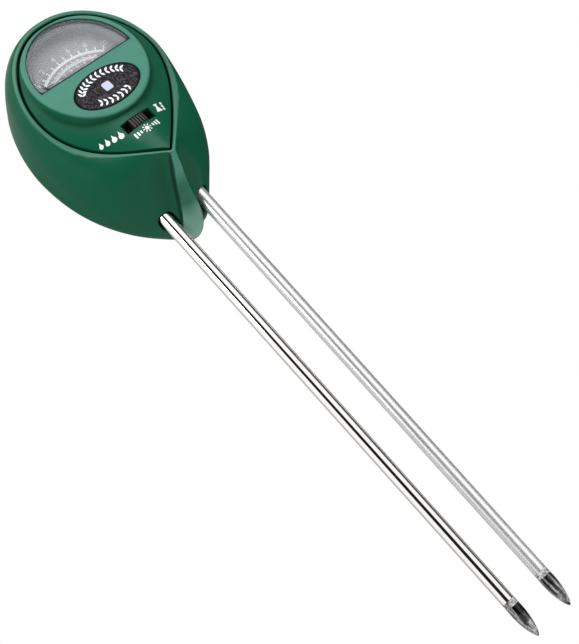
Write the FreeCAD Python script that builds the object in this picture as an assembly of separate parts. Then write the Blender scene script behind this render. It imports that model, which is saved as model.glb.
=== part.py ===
import FreeCAD, Part
import math, os
from FreeCAD import Vector as V

# ---------------------------------------------------------------------------
# Three-way soil meter: a drop-shaped plastic head with a moving-coil meter,
# a three-position slide switch, a small light sensor and two metal probes.
# Millimetres.  +Z up (the probes point down), -Y is the face, +X is to the
# right of somebody who reads the dial.  The origin lies midway between the
# two probe axes, where the probes leave the head.
# ---------------------------------------------------------------------------
os.makedirs("parts", exist_ok=True)

# --- driving dimensions ----------------------------------------------------
PROBE_X = 8.56          # probe axis from the centre plane
PROBE_R = 2.60          # probe radius
PROBE_WALL = 0.50
NECK_R = 2.40           # the tubes are drawn down to this radius inside the head
NECK_Z = 7.5            # shoulder between the full and the drawn-down radius
RELIEF_R = 3.45         # relief in the head round each probe
PROBE_TOP = 23.0        # upper end of the tubes inside the head
TIP_Z = -191.5          # lowest point of the tips
TIP_LEN = 13.2
COLLAR_LEN = 2.5
SEAM_Y = 8.0            # parting plane between front case and rear cover
BACK_Y = 13.0           # flat back of the rear cover
WALL = 2.0
GAP = 1.00              # shadow gap round the face panel
POCKET_Y = -8.0         # floor of the pocket that holds the face panel
TILT = 8.3              # the reading disc leans back at the top
DISC_Y, DISC_Z = -16.8, 64.0
DISC_R = 23.2
WIN_R = 20.8            # half-moon window
BADGE_A, BADGE_B, BADGE_V = 14.3, 8.0, -11.9
SLOT_V, SLOT_W, SLOT_H = -28.6, 13.4, 4.5
KNOB_W, KNOB_H = 6.2, 4.0
TRAVEL = 3.2            # switch travel each way from the middle
PIVOT_V = -20.5         # pointer pivot below the disc centre
DIAL_D = 7.6            # depth of the dial face behind the disc face
DIAL_R = 21.2           # outer radius of the dial tray
FLAT_V = -0.4           # straight lower edge of the window

parts = {}


def solid(s):
    if s.ShapeType == "Solid":
        return s
    if len(s.Solids) == 1:
        return s.Solids[0]
    return s


def lerp(tab, t):
    # tab: list of (t, value) in rising t
    if t <= tab[0][0]:
        return tab[0][1]
    for (a, va), (b, vb) in zip(tab[:-1], tab[1:]):
        if t <= b:
            return va + (vb - va) * (t - a) / (b - a)
    return tab[-1][1]


def box(x0, x1, y0, y1, z0, z1):
    return Part.makeBox(x1 - x0, y1 - y0, z1 - z0, V(x0, y0, z0))


def cyl(r, p, d, h):
    return Part.makeCylinder(r, h, V(*p), V(*d))


def ycyl(r, x, z, y0, y1):
    return Part.makeCylinder(r, y1 - y0, V(x, y0, z), V(0, 1, 0))


def zcyl(r, x, y, z0, z1):
    return Part.makeCylinder(r, z1 - z0, V(x, y, z0), V(0, 0, 1))


def face_frame(s):
    # from the face frame (origin at the disc centre, y = depth behind the
    # disc face, z up along the disc) into the row frame
    s = s.copy()
    s.rotate(V(0, 0, 0), V(1, 0, 0), -TILT)
    s.translate(V(0, DISC_Y, DISC_Z))
    return s


def local_to_world(x, y, z):
    a = math.radians(-TILT)
    return V(x, DISC_Y + y * math.cos(a) - z * math.sin(a), DISC_Z + y * math.sin(a) + z * math.cos(a))


# --- outline of the shadow gap: half width against height -------------------
GAP_HW = [(18.9, 0.0), (20, 1.15), (22, 3.45), (24, 5.75), (27, 9.15), (30, 12.4), (33, 15.45), (36, 18.2),
          (40, 21.4), (44, 23.95), (48, 25.9), (52, 27.15), (56, 27.7), (60, 27.6), (64, 26.85), (68, 25.5),
          (72, 23.5), (75, 21.5), (78, 18.9), (80, 16.8), (82, 14.1), (83.4, 11.7), (84.6, 8.9), (85.4, 6.3), (85.85, 3.4), (86.0, 0.0)]
# depth of the rim along that outline
RIM_Y = [(16, -23.4), (18.9, -22.4), (20, -21.7), (22, -20.4), (24, -19.2), (27, -17.3), (30, -15.5), (33, -14.2), (36, -13.3),
         (40, -12.8), (44, -12.8), (48, -13.1), (52, -13.6), (56, -14.0), (60, -14.25), (72, -14.25), (80, -13.9), (86, -13.6), (90, -13.5)]


def half_curve(n=180):
    # smooth half outline as a dense list of (x, z), from the tip to the top
    pts = [V(x, 0, z) for z, x in GAP_HW]
    full = pts + [V(-p.x, 0, p.z) for p in reversed(pts[:-1])]
    c = Part.BSplineCurve()
    t0 = V(0.75, 0, 0.66)
    c.interpolate(full, InitialTangent=t0, FinalTangent=V(0.75, 0, -0.66))
    out = []
    u0, u1 = c.FirstParameter, c.LastParameter
    for i in range(n + 1):
        p = c.value(u0 + (u1 - u0) * 0.5 * i / n)
        out.append((p.x, p.z))
    out[-1] = (0.0, out[-1][1])
    return out


HALF = half_curve()


def offset_half(d):
    # half outline offset outward by d; first point lies on x = 0
    out = []
    n = len(HALF)
    for i, (x, z) in enumerate(HALF):
        a = HALF[max(i - 1, 0)]
        b = HALF[min(i + 1, n - 1)]
        tx, tz = b[0] - a[0], b[1] - a[1]
        if i == n - 1:
            tx, tz = -1.0, 0.0
        l = math.hypot(tx, tz)
        nx, nz = tz / l, -tx / l
        out.append((x + d * nx, z + d * nz))
    out[-1] = (0.0, out[-1][1])
    # mitre at the tip: carry the first straight piece to x = 0
    x0, z0 = out[0]
    x1, z1 = out[3]
    if d > 0:
        zt = z0 - x0 * (z1 - z0) / (x1 - x0)
        out.insert(0, (0.0, zt))
    else:
        k = 0
        while out[k][0] < 0.02:
            k += 1
        out = out[k:]
        x0, z0 = out[0]
        x1, z1 = out[2]
        out.insert(0, (0.0, z0 - x0 * (z1 - z0) / (x1 - x0)))
    return out


def prism(d, y0, y1, round_tip=0.0):
    # solid of the (offset) outline between two depths
    h = offset_half(d)
    pts = [h[0]] + h[6::6]
    if pts[-1][0] != 0.0:
        pts.append(h[-1])
    full = [V(x, y0, z) for x, z in pts] + [V(-x, y0, z) for x, z in reversed(pts[1:-1])]
    c = Part.BSplineCurve()
    a, b = h[0], h[2]
    l = math.hypot(b[0] - a[0], b[1] - a[1])
    t = V((b[0] - a[0]) / l, 0, (b[1] - a[1]) / l)
    c.interpolate(full + [full[0]], InitialTangent=t, FinalTangent=V(t.x, 0, -t.z))
    w = Part.Wire([c.toShape()])
    return solid(Part.Face(w).extrude(V(0, y1 - y0, 0)))


# --- front surface of the face panel (a ridge that comes forward to the tip)
RIDGE = [(10, -24.2), (18.9, -22.4), (27, -20.7), (35.2, -19.0), (45, -17.6), (60, -16.2), (75, -14.9), (87, -13.6), (100, -12.2)]
BEND = [(10, 0.060), (20, 0.056), (24, 0.052), (27, 0.041), (30, 0.030), (33, 0.0225), (36, 0.0172), (40, 0.0115), (44, 0.0083),
        (48, 0.0062), (52, 0.0045), (56, 0.0032), (60, 0.0023), (68, 0.0014), (78, 0.0006), (87, 0.0), (100, 0.0)]


def smooth_lerp(tab, t):
    # light smoothing of the table
    s, w = 0.0, 0.0
    for k in range(-4, 5):
        g = math.exp(-0.5 * (k / 2.0) ** 2)
        s += g * lerp(tab, t + k * 0.9)
        w += g
    return s / w


def front_y(x, z):
    return smooth_lerp(RIDGE, z) + smooth_lerp(BEND, z) * x * x


def front_surface(dy, hw=31.0, z0=12.0, z1=92.0, nx=17, nz=33):
    rows = []
    for i in range(nz):
        z = z0 + (z1 - z0) * i / (nz - 1)
        rows.append([V(x, front_y(x, z) + dy, z) for x in [(-hw + 2 * hw * j / (nx - 1)) for j in range(nx)]])
    s = Part.BSplineSurface()
    s.interpolate(rows)
    return s


def slab(y_off, thick):
    return solid(front_surface(y_off).toShape().extrude(V(0, thick, 0)))


# --- head skin --------------------------------------------------------------
# shoulder: (x, z, depth) of the widest line of the front case
SHOULDER = [(5.0, -2.0, 4.0), (7.2, -1.2, 4.0), (10.0, 0.8, 4.0), (13.4, 4.1, 4.0), (17.8, 8.8, 4.0), (21.4, 13.0, 4.0),
            (24.8, 18.2, 4.0), (27.7, 24.4, 3.5), (29.9, 31.2, 2.5), (31.4, 39.0, 0.5), (32.0, 47.0, -2.0), (31.8, 54.0, -4.5),
            (31.1, 60.5, -6.0), (29.5, 67.4, -6.8), (27.0, 73.5, -7.0), (22.8, 79.2, -7.0), (17.3, 84.0, -7.0), (11.4, 87.2, -7.0),
            (5.6, 88.8, -7.0), (0.0, 89.3, -7.0)]
SEAM = [(5.2, -2.2), (7.3, -0.8), (10.1, 1.4), (13.5, 4.3), (17.9, 8.7), (21.4, 13.0), (24.8, 18.2), (27.8, 24.2), (30.2, 31.2),
        (31.7, 39.0), (32.2, 47.0), (31.5, 54.0), (30.0, 60.5), (27.6, 67.0), (24.6, 72.6), (20.4, 77.8), (15.3, 82.1), (10.0, 84.7),
        (5.0, 86.1), (0.0, 86.6)]
# keel: a narrow strip that runs from the panel tip down and back (depth: height, half width)
KEEL_Z = [(-24.6, 16.2), (-22, 15.6), (-19.9, 14.7), (-16, 12.6), (-12.4, 10.0), (-7.6, 6.0), (-3.8, 2.4), (0, -0.2), (4, -2.0), (8, -2.2)]
KEEL_W = [(-24.6, 1.0), (-19.9, 1.4), (-12.4, 2.3), (-7.6, 3.0), (-3.8, 3.8), (0, 4.6), (4, 5.0), (8, 5.2)]
KEEL_SAG = [(-24.6, 0.05), (-12.4, 0.15), (-7.6, 0.5), (-3.8, 1.2), (0, 2.2), (4, 3.0), (8, 3.2), (13, 2.4)]   # the strip bulges down between its edges
LIN = [0.0, 0.12, 0.28, 0.45, 0.62, 0.8, 0.92, 1.0]      # 0 = straight wall, 1 = elliptic wall
HOLLOW = [0.0, 1.15, 0.75, 0.25]                         # depth of the hollow beside the keel, line by line


def on_ray(poly, ang):
    # point where the ray from (0, 48) at angle ang meets the half outline
    best = None
    for (xa, za), (xb, zb) in zip(poly[:-1], poly[1:]):
        aa = math.atan2(xa, -(za - 48.0))
        ab = math.atan2(xb, -(zb - 48.0))
        if (aa - ang) * (ab - ang) <= 0 and aa != ab:
            t = (ang - aa) / (ab - aa)
            return xa + (xb - xa) * t, za + (zb - za) * t
    return poly[-1]


G_OUT = offset_half(1.5)
G_MID = offset_half(1.0)
G_LIP = offset_half(GAP / 2)


def rim_points(poly, dy, hw0):
    pts = []
    for k, (x, z, y) in enumerate(SHOULDER):
        if k == 0:
            zz = lerp([(p[0], p[1]) for p in poly[:30]], hw0)
            pts.append(V(hw0, lerp(RIM_Y, zz) + dy, zz))
        else:
            a = math.atan2(x, -(z - 48.0))
            px, pz = on_ray(poly, a)
            pts.append(V(px, lerp(RIM_Y, pz) + dy, pz))
    return pts


def skin_point(k, g, f):
    # f = 0 at the rim, 1 at the shoulder, 2 at the seam
    sx, sz, sy = SHOULDER[k]
    if k == 0:
        if f <= 1:
            y = g.y + (sy - g.y) * f
        else:
            y = sy + (SEAM_Y - sy) * (f - 1)
        if f == 0:
            return V(g.x, g.y, g.z)
        return V(smooth_keel(KEEL_W, y, g), y, smooth_keel(KEEL_Z, y, g, True))
    if f <= 1:
        w = LIN[k] if k < len(LIN) else 1.0
        ph = f * math.pi / 2
        rad = (1 - w) * f ** 1.12 + w * math.sin(ph)
        dep = (1 - w) * f + w * (1 - math.cos(ph))
        h = HOLLOW[k] * math.sin(math.pi * min(f / 0.9, 1.0)) if k < len(HOLLOW) else 0.0
        return V(g.x + (sx - g.x) * rad, g.y + (sy - g.y) * dep + 0.65 * h, g.z + (sz - g.z) * rad + 0.75 * h)
    t = f - 1
    mx, mz = SEAM[k]
    r = 0.55 * t + 0.45 * t * t if k > 11 else t * t
    return V(sx + (mx - sx) * r, sy + (SEAM_Y - sy) * t, sz + (mz - sz) * r)


def smooth_keel(tab, y, g, is_z=False):
    s, w = 0.0, 0.0
    for j in range(-3, 4):
        q = math.exp(-0.5 * (j / 1.5) ** 2)
        s += q * lerp(tab, min(max(y + j * 0.8, tab[0][0]), tab[-1][0]))
        w += q
    v = s / w
    g0 = g.z if is_z else g.x
    # blend into the rim value near the rim
    t = min(max((y - g.y) / 5.0, 0.0), 1.0)
    base0 = lerp(tab, g.y)
    return v + (g0 - base0) * (1 - t)


def wire_from(pts):
    # pts: half list from strip corner to top centre
    full = pts + [V(-p.x, p.y, p.z) for p in reversed(pts[:-1])]
    c = Part.BSplineCurve()
    c.interpolate(full)
    e1 = c.toShape()
    a, b = full[-1], full[0]
    sag = lerp(KEEL_SAG, b.y)
    e2 = Part.Arc(a, V(0, b.y, b.z - sag), b).toShape()
    return Part.Wire([e1, e2])


N_ROWS = 11


def build_outer():
    rim = rim_points(G_OUT, -0.0, 1.0)
    # every profile is divided evenly along its own length
    lines = []
    for k in range(len(SHOULDER)):
        dense = [skin_point(k, rim[k], 2.0 * i / 160) for i in range(161)]
        acc = [0.0]
        for p, q in zip(dense[:-1], dense[1:]):
            acc.append(acc[-1] + (q - p).Length)
        row = []
        for j in range(N_ROWS + 1):
            t = j / N_ROWS
            t = t ** 1.25
            d = acc[-1] * t
            i = 1
            while i < 160 and acc[i] < d:
                i += 1
            u = (d - acc[i - 1]) / max(acc[i] - acc[i - 1], 1e-9)
            row.append(dense[i - 1] + (dense[i] - dense[i - 1]) * min(u, 1.0))
        row[-1] = V(row[-1].x, SEAM_Y, row[-1].z)
        lines.append(row)
    skin = []
    for j in range(N_ROWS + 1):
        skin.append(wire_from([lines[k][j] for k in range(len(SHOULDER))]))
    mid = wire_from(rim_points(G_MID, -0.12, 0.8))
    lip = wire_from(rim_points(G_LIP, 0.35, 0.6))
    low = wire_from([V(p.x, POCKET_Y, p.z) for p in rim_points(G_LIP, 0.0, 0.6)])
    s1 = Part.makeLoft(skin, False, False)
    s2 = Part.makeLoft([lip, mid, skin[0]], False, False)
    s3 = Part.makeLoft([low, lip], False, True)
    faces = s1.Faces + s2.Faces + s3.Faces + [Part.Face(low), Part.Face(skin[-1])]
    sh = Part.makeShell(faces)
    sh.sewShape()
    s = Part.makeSolid(sh)
    s = s.copy()
    if s.Volume < 0:
        s.reverse()
    return s, rim


outer, RIMPTS = build_outer()
print("outer", outer.ShapeType, outer.isValid(), round(outer.Volume, 1), outer.BoundBox)


# --- inner cavity of the front case ----------------------------------------
def skin_at_depth(y, inset):
    # closed smooth outline of the skin at one depth, moved inward
    half = []
    for k in range(len(SHOULDER)):
        prev = None
        hit = None
        for i in range(0, 81):
            f = 2.0 * i / 80
            p = skin_point(k, RIMPTS[k], f)
            if prev is not None and (prev.y - y) * (p.y - y) <= 0 and prev.y != p.y:
                t = (y - prev.y) / (p.y - prev.y)
                hit = (prev.x + (p.x - prev.x) * t, prev.z + (p.z - prev.z) * t)
                break
            prev = p
        half.append(hit)
    n = len(half)
    out = []
    for i in range(1, n):
        a = half[i - 1]
        b = half[min(i + 1, n - 1)]
        tx, tz = b[0] - a[0], b[1] - a[1]
        if i == n - 1:
            tx, tz = -1.0, 0.0
        l = math.hypot(tx, tz)
        out.append((half[i][0] - inset * tz / l, half[i][1] + inset * tx / l))
    # inner floor is cut off above the keel
    out = [p for p in out if p[0] > 7.0 or p[1] > 50]
    return out


def cavity_wire(y, inset):
    h = skin_at_depth(y, inset)
    h[-1] = (0.0, h[-1][1])
    pts = [V(x, y, z) for x, z in h]
    full = pts + [V(-p.x, p.y, p.z) for p in reversed(pts[:-1])]
    c = Part.BSplineCurve()
    c.interpolate(full)
    return Part.Wire([c.toShape(), Part.makeLine(full[-1], full[0])])


def loft_cavity():
    ys = [-5.5, -1.5, 2.5, 5.5, SEAM_Y]
    ins = [3.0, 2.6, 2.2, 2.0, 2.0]
    n = None
    ws = []
    for y, i in zip(ys, ins):
        ws.append(cavity_wire(y, i))
    s = Part.makeLoft(ws, True, False)
    return solid(s)


cavity = loft_cavity()
print("cavity", cavity.isValid(), round(cavity.Volume, 1), cavity.BoundBox)
# run the cavity a little past the parting plane
cav_end = solid(Part.Face([w for w in [cavity_wire(SEAM_Y, 2.0)]]).extrude(V(0, 1.0, 0)))

# the opening that joins the pocket to the cavity
opening = prism(-3.2, -30.0, -4.9)

front_case = outer.cut(cavity).cut(cav_end).cut(opening)

# --- bosses and pads inside the front case ---------------------------------
CASE_SCREWS = [(-25.2, 50.0), (25.2, 50.0), (0.0, 80.5), (0.0, 20.5)]
SCREW_HOLE_R, SCREW_R = 1.15, 1.10
bosses = []
for x, z in CASE_SCREWS:
    y0 = {50.0: -6.0, 80.5: -5.0, 20.5: -2.0}[z]
    bosses.append(ycyl(3.4, x, z, y0, SEAM_Y))
# web that joins the top boss to the roof
bosses.append(box(-1.5, 1.5, -4.6, SEAM_Y - 0.4, 82.0, 88.6))
# block that carries the probes: two bored pillars joined by a web
pillar = box(-13.0, 13.0, -5.2, 0.0, 9.5, 17.5)
bosses.append(pillar)
# posts and side arms that carry the circuit board
BOARD_SCREWS = [(-16.5, 31.0), (16.5, 31.0), (-16.2, 62.5), (16.2, 62.5)]
BOARD_Y0, BOARD_Y1 = 6.0, 7.5
for x, z in BOARD_SCREWS:
    if z < 40:
        bosses.append(ycyl(2.6, x, z, -6.6, BOARD_Y0))
    else:
        bosses.append(box(min(14.0 * x / abs(x), 29.6 * x / abs(x)), max(14.0 * x / abs(x), 29.6 * x / abs(x)), 2.0, BOARD_Y0, z - 2.4, z + 2.4))
# arms on either side of the movement
MOVE_SCREW_X, MOVE_SCREW_Z = 17.0, 41.5
for sx in (-1, 1):
    bosses.append(box(min(sx * 15.0, sx * 29.6), max(sx * 15.0, sx * 29.6), -6.6, -3.0, 38.4, 44.6))
# boss material is kept inside the skin
add = bosses[0].multiFuse(bosses[1:])
add = add.common(outer)
# pocket space stays free
pocket = prism(GAP / 2, -30.0, POCKET_Y)
add = add.cut(pocket)
front_case = front_case.fuse(add)
for x, z in CASE_SCREWS:
    front_case = front_case.cut(ycyl(SCREW_HOLE_R, x, z, -3.0 if z != 20.5 else 0.0, SEAM_Y + 1))
for x, z in BOARD_SCREWS:
    front_case = front_case.cut(ycyl(1.15, x, z, 1.6, BOARD_Y0 + 1))
for sx in (-1, 1):
    front_case = front_case.cut(ycyl(1.15, sx * MOVE_SCREW_X, MOVE_SCREW_Z, -5.9, -2.0))
# room for the dial tray
tray_room = Part.makeCylinder(DIAL_R + 0.4, DIAL_D + 0.9 - 4.0, V(0, 4.0, 0.1), V(0, 1, 0)).common(box(-30, 30, 0, 20, -12.0, 30))
front_case = front_case.cut(face_frame(tray_room))
# probe bores through the lower end
for sx in (-1, 1):
    front_case = front_case.cut(zcyl(NECK_R + 0.06, sx * PROBE_X, 0.0, 0.0, PROBE_TOP + 2))
    front_case = front_case.cut(zcyl(RELIEF_R, sx * PROBE_X, 0.0, -12.0, NECK_Z + 0.5))
# clamp screw hole in the web
for z in (13.5,):
    front_case = front_case.cut(ycyl(1.15, 0.0, z, -4.2, 6.0))
front_case = solid(front_case.removeSplitter())
print("front_case", front_case.isValid(), len(front_case.Solids), round(front_case.Volume, 1))
parts["front_case"] = front_case

# --- rear cover --------------------------------------------------------------


def rear_half(f):
    # half outline of the cover: f = 0 at the seam, 1 at the flat back
    ph = f * math.pi / 2
    ins = 7.0 * (1 - math.cos(ph))
    y = SEAM_Y + (BACK_Y - SEAM_Y) * math.sin(ph)
    base = [SEAM[k] for k in range(len(SEAM))]
    n = len(base)
    out = []
    for i in range(n):
        a = base[max(i - 1, 0)]
        b = base[min(i + 1, n - 1)]
        tx, tz = b[0] - a[0], b[1] - a[1]
        if i == n - 1:
            tx, tz = -1.0, 0.0
        l = math.hypot(tx, tz)
        x, z = base[i]
        out.append(V(x - ins * tz / l, y, z + ins * tx / l))
    # the narrow lower end draws in less sideways and rises
    if f > 0:
        k0 = max(5.2 - 1.4 * f * f, 3.0)
        out[0] = V(k0, y, SEAM[0][1] + ins * 1.05)
        for i in range(1, 5):
            w = i / 5.0
            q = SEAM[i]
            out[i] = V(out[0].x + (out[5].x - out[0].x) * (q[0] - SEAM[0][0]) / (SEAM[5][0] - SEAM[0][0]), y,
                       out[0].z + (out[5].z - out[0].z) * (q[1] - SEAM[0][1]) / (SEAM[5][1] - SEAM[0][1]))
    out[-1] = V(0, y, out[-1].z)
    return out


def rear_body(shrink=0.0):
    ws = []
    for f in (0.0, 0.22, 0.42, 0.6, 0.76, 0.9, 1.0):
        h = rear_half(f)
        if shrink:
            g = []
            for i, p in enumerate(h):
                a = h[max(i - 1, 0)]
                b = h[min(i + 1, len(h) - 1)]
                tx, tz = b.x - a.x, b.z - a.z
                if i == len(h) - 1:
                    tx, tz = -1.0, 0.0
                l = math.hypot(tx, tz)
                x, z = p.x - shrink * tz / l, p.z + shrink * tx / l
                g.append(V(max(x, 0.0), SEAM_Y + (p.y - SEAM_Y) * (BACK_Y - SEAM_Y - shrink) / (BACK_Y - SEAM_Y), z))
            g[-1] = V(0, g[-1].y, g[-1].z)
            h = g
        ws.append(wire_from(h))
    return solid(Part.makeLoft(ws, True, False))


rear = rear_body()
rear_in = rear_body(WALL)
rear_cover = rear.cut(rear_in)
posts = []
for x, z in CASE_SCREWS:
    posts.append(ycyl(3.4, x, z, SEAM_Y + 0.01, BACK_Y - 0.3))
pb = posts[0].multiFuse(posts[1:]).common(rear)
rear_cover = rear_cover.fuse(pb)
for x, z in CASE_SCREWS:
    rear_cover = rear_cover.cut(ycyl(1.35, x, z, SEAM_Y - 1, BACK_Y + 1))
    rear_cover = rear_cover.cut(ycyl(2.5, x, z, BACK_Y - 2.6, BACK_Y + 1))
# shallow recessed field on the flat back
field = Part.makeCylinder(15.0, 0.5, V(0, BACK_Y - 0.5, 50.5), V(0, 1, 0))
rear_cover = rear_cover.cut(field)
rear_cover = solid(rear_cover.removeSplitter())
print("rear_cover", rear_cover.isValid(), len(rear_cover.Solids), round(rear_cover.Volume, 1))
parts["rear_cover"] = rear_cover

# --- case screws: pan head in the counterbore ---------------------------------


def screw_y(x, z, y_head, head_h, head_r, shank_r, y_tip, slot=True):
    # head lies towards +Y, the shank runs to y_tip (towards -Y)
    s = ycyl(head_r, x, z, y_head - head_h, y_head)
    try:
        e = [q for q in s.Edges if abs(q.BoundBox.YMin - y_head) < 1e-6 and q.BoundBox.YLength < 1e-6]
        s = s.makeFillet(min(0.45, head_h * 0.45), e)
    except Exception:
        pass
    s = s.fuse(ycyl(shank_r, x, z, y_tip, y_head - head_h + 0.01))
    if slot:
        s = s.cut(box(x - head_r * 0.72, x + head_r * 0.72, y_head - head_h * 0.55, y_head + 1, z - 0.22, z + 0.22))
        s = s.cut(box(x - 0.22, x + 0.22, y_head - head_h * 0.55, y_head + 1, z - head_r * 0.72, z + head_r * 0.72))
    return solid(s)


cs = []
for x, z in CASE_SCREWS:
    cs.append(screw_y(x, z, BACK_Y - 2.6 + 1.5, 1.5, 2.25, SCREW_R, -2.0 if z != 20.5 else 1.0))
parts["case_screws"] = Part.makeCompound(cs)

# --- face panel ----------------------------------------------------------------
SW_Y0, SW_Y1 = 5.7, 10.5      # front and back of the switch body, behind the disc face
panel_prism = prism(-GAP / 2, -30.0, POCKET_Y)
panel_inner = prism(-GAP / 2 - 1.7, -31.0, 0.0)
P_T = 1.8
skin_slab = panel_prism.common(slab(0.0, P_T))
# skirt that stands on the pocket floor
behind = slab(0.9, 40.0)
skirt = panel_prism.cut(panel_inner).common(behind)
disc_cavity = face_frame(Part.makeCylinder(DISC_R - 1.6, 30.0, V(0, -6, 0), V(0, 1, 0)))
panel = skin_slab.fuse(skirt.common(panel_prism))
panel = panel.cut(disc_cavity)
disc = Part.makeCone(DISC_R, DISC_R + 1.3, 6.2, V(0, 0, 0), V(0, 1, 0))
e = [q for q in disc.Edges if q.BoundBox.YLength < 1e-6 and abs(q.BoundBox.YMin) < 1e-6]
disc = disc.makeFillet(1.2, e)
disc = disc.cut(Part.makeCylinder(DISC_R - 1.6, 10.0, V(0, 2.2, 0), V(0, 1, 0)))
disc = face_frame(disc)
disc = disc.common(prism(-GAP / 2 - 0.02, -30.0, POCKET_Y))
panel = panel.fuse(disc)


def half_moon(r, v_flat, y0, y1, corner=0.6, vc=0.1):
    # half disc above a chord, corners rounded
    hw = math.sqrt(r * r - (v_flat - vc) ** 2)
    a0 = math.atan2(v_flat - vc, hw)
    arc = Part.Arc(V(hw, y0, v_flat), V(0, y0, vc + r), V(-hw, y0, v_flat))
    w = Part.Wire([arc.toShape(), Part.makeLine(V(-hw, y0, v_flat), V(hw, y0, v_flat))])
    s = solid(Part.Face(w).extrude(V(0, y1 - y0, 0)))
    if corner:
        ed = [q for q in s.Edges if abs(q.BoundBox.YLength - abs(y1 - y0)) < 1e-6 and q.BoundBox.XLength < 1e-6]
        s = s.makeFillet(corner, ed)
    return s


def ellipse_y(a, b, v, y0, y1):
    c = Part.Ellipse(V(a, y0, v), V(0, y0, v + b), V(0, y0, v))
    w = Part.Wire([c.toShape()])
    return solid(Part.Face(w).extrude(V(0, y1 - y0, 0)))


panel = panel.cut(face_frame(half_moon(WIN_R, FLAT_V, -3.0, 4.0, 1.6)))
panel = panel.cut(face_frame(half_moon(WIN_R + 0.5, FLAT_V - 0.9, 1.1, 4.0, 1.9)))
panel = panel.cut(face_frame(ellipse_y(BADGE_A, BADGE_B, BADGE_V, -1.0, 0.7)))
SENS = 3.6
panel = panel.cut(face_frame(box(-SENS / 2 - 0.1, SENS / 2 + 0.1, -1, 4, BADGE_V - SENS / 2 - 0.1, BADGE_V + SENS / 2 + 0.1)))
slot_cut = box(-SLOT_W / 2, SLOT_W / 2, -6, 9, SLOT_V - SLOT_H / 2, SLOT_V + SLOT_H / 2)
panel = panel.cut(face_frame(slot_cut))
# ribs that grip the ends of the slide switch
for sx in (-1, 1):
    panel = panel.fuse(face_frame(box(min(sx * 9.2, sx * 10.5), max(sx * 9.2, sx * 10.5), 4.8, 8.8, SLOT_V - 2.4, SLOT_V + 2.4)))
# relief on the back for the front bridge and its screw heads
panel = panel.cut(face_frame(box(-12.9, 12.9, 4.75, 12.0, PIVOT_V - 2.5, PIVOT_V + 2.5)))
panel = panel.cut(face_frame(box(-13.4, 13.4, 5.4, 14.0, PIVOT_V - 3.0, -8.0)))
# room behind the skin for the body of the switch
panel = panel.cut(face_frame(box(-9.2, 9.2, SW_Y0 - 0.1, SW_Y1 + 1.0, SLOT_V - 3.4, SLOT_V + 3.4)))
panel = solid(panel.removeSplitter())
print("face_panel", panel.isValid(), len(panel.Solids), round(panel.Volume, 1))
parts["face_panel"] = panel

# --- half-moon window, flanged behind the disc ------------------------------------
lens = half_moon(WIN_R - 0.3, FLAT_V + 0.3, -0.35, 1.2, 1.3)
e = [q for q in lens.Edges if q.BoundBox.YLength < 1e-6 and abs(q.BoundBox.YMin + 0.35) < 1e-6]
try:
    lens = lens.makeFillet(0.55, e)
except Exception as ex:
    print("lens fillet", ex)
lens = lens.fuse(half_moon(WIN_R + 0.4, FLAT_V - 0.8, 1.1, 2.2, 1.8))
lens = lens.cut(half_moon(WIN_R - 1.6, FLAT_V + 1.6, 1.0, 4.0, 1.0))
lens = solid(lens.removeSplitter())
parts["dial_window"] = solid(face_frame(lens))

# --- badge plate with a square hole, and the light window in it --------------------
badge = ellipse_y(BADGE_A - 0.1, BADGE_B - 0.1, BADGE_V, -0.05, 0.7)
badge = badge.cut(box(-SENS / 2, SENS / 2, -2, 4, BADGE_V - SENS / 2, BADGE_V + SENS / 2))
parts["badge_plate"] = solid(face_frame(solid(badge)))
sens = box(-SENS / 2 + 0.05, SENS / 2 - 0.05, -0.30, 2.9, BADGE_V - SENS / 2 + 0.05, BADGE_V + SENS / 2 - 0.05)
e = [q for q in sens.Edges if abs(q.BoundBox.YLength - 3.2) < 1e-6]
sens = sens.makeFillet(0.7, e)
sens = sens.fuse(box(-SENS / 2 - 0.9, SENS / 2 + 0.9, 2.25, 2.9, BADGE_V - SENS / 2 - 0.9, BADGE_V + SENS / 2 + 0.9))
parts["light_window"] = solid(face_frame(solid(sens)))

# --- photocell behind the light window ----------------------------------------------
pc = Part.makeCylinder(2.5, 1.6, V(0, 2.95, BADGE_V), V(0, 1, 0))
parts["photocell"] = solid(face_frame(pc))

# --- slide switch ----------------------------------------------------------------------
frame_o = box(-9.2, 9.2, SW_Y0, SW_Y1, SLOT_V - 3.3, SLOT_V + 3.3)
frame_i = box(-8.8, 8.8, SW_Y0 + 0.4, SW_Y1 + 1, SLOT_V - 2.9, SLOT_V + 2.9)
fr = frame_o.cut(frame_i).cut(box(-KNOB_W / 2 - TRAVEL - 0.2, KNOB_W / 2 + TRAVEL + 0.2, SW_Y0 - 1, SW_Y0 + 1, SLOT_V - 1.6, SLOT_V + 1.6))
parts["switch_frame"] = solid(face_frame(solid(fr.removeSplitter())))
base = box(-8.75, 8.75, SW_Y1 - 1.1, SW_Y1 - 0.2, SLOT_V - 2.85, SLOT_V + 2.85)
term_x = (-6.6, -2.2, 2.2, 6.6)
for tx in term_x:
    for tz in (-1.5, 1.5):
        base = base.cut(ycyl(0.5, tx, SLOT_V + tz, 8.0, 12.0))
parts["switch_base"] = solid(face_frame(solid(base)))
tm = []
for tx in term_x:
    for tz in (-1.5, 1.5):
        t = ycyl(0.45, tx, SLOT_V + tz, SW_Y1 - 1.1, 11.3).fuse(ycyl(0.75, tx, SLOT_V + tz, SW_Y1 - 1.4, SW_Y1 - 1.1))
        tm.append(solid(face_frame(solid(t))))
parts["switch_terminals"] = Part.makeCompound(tm)
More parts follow.
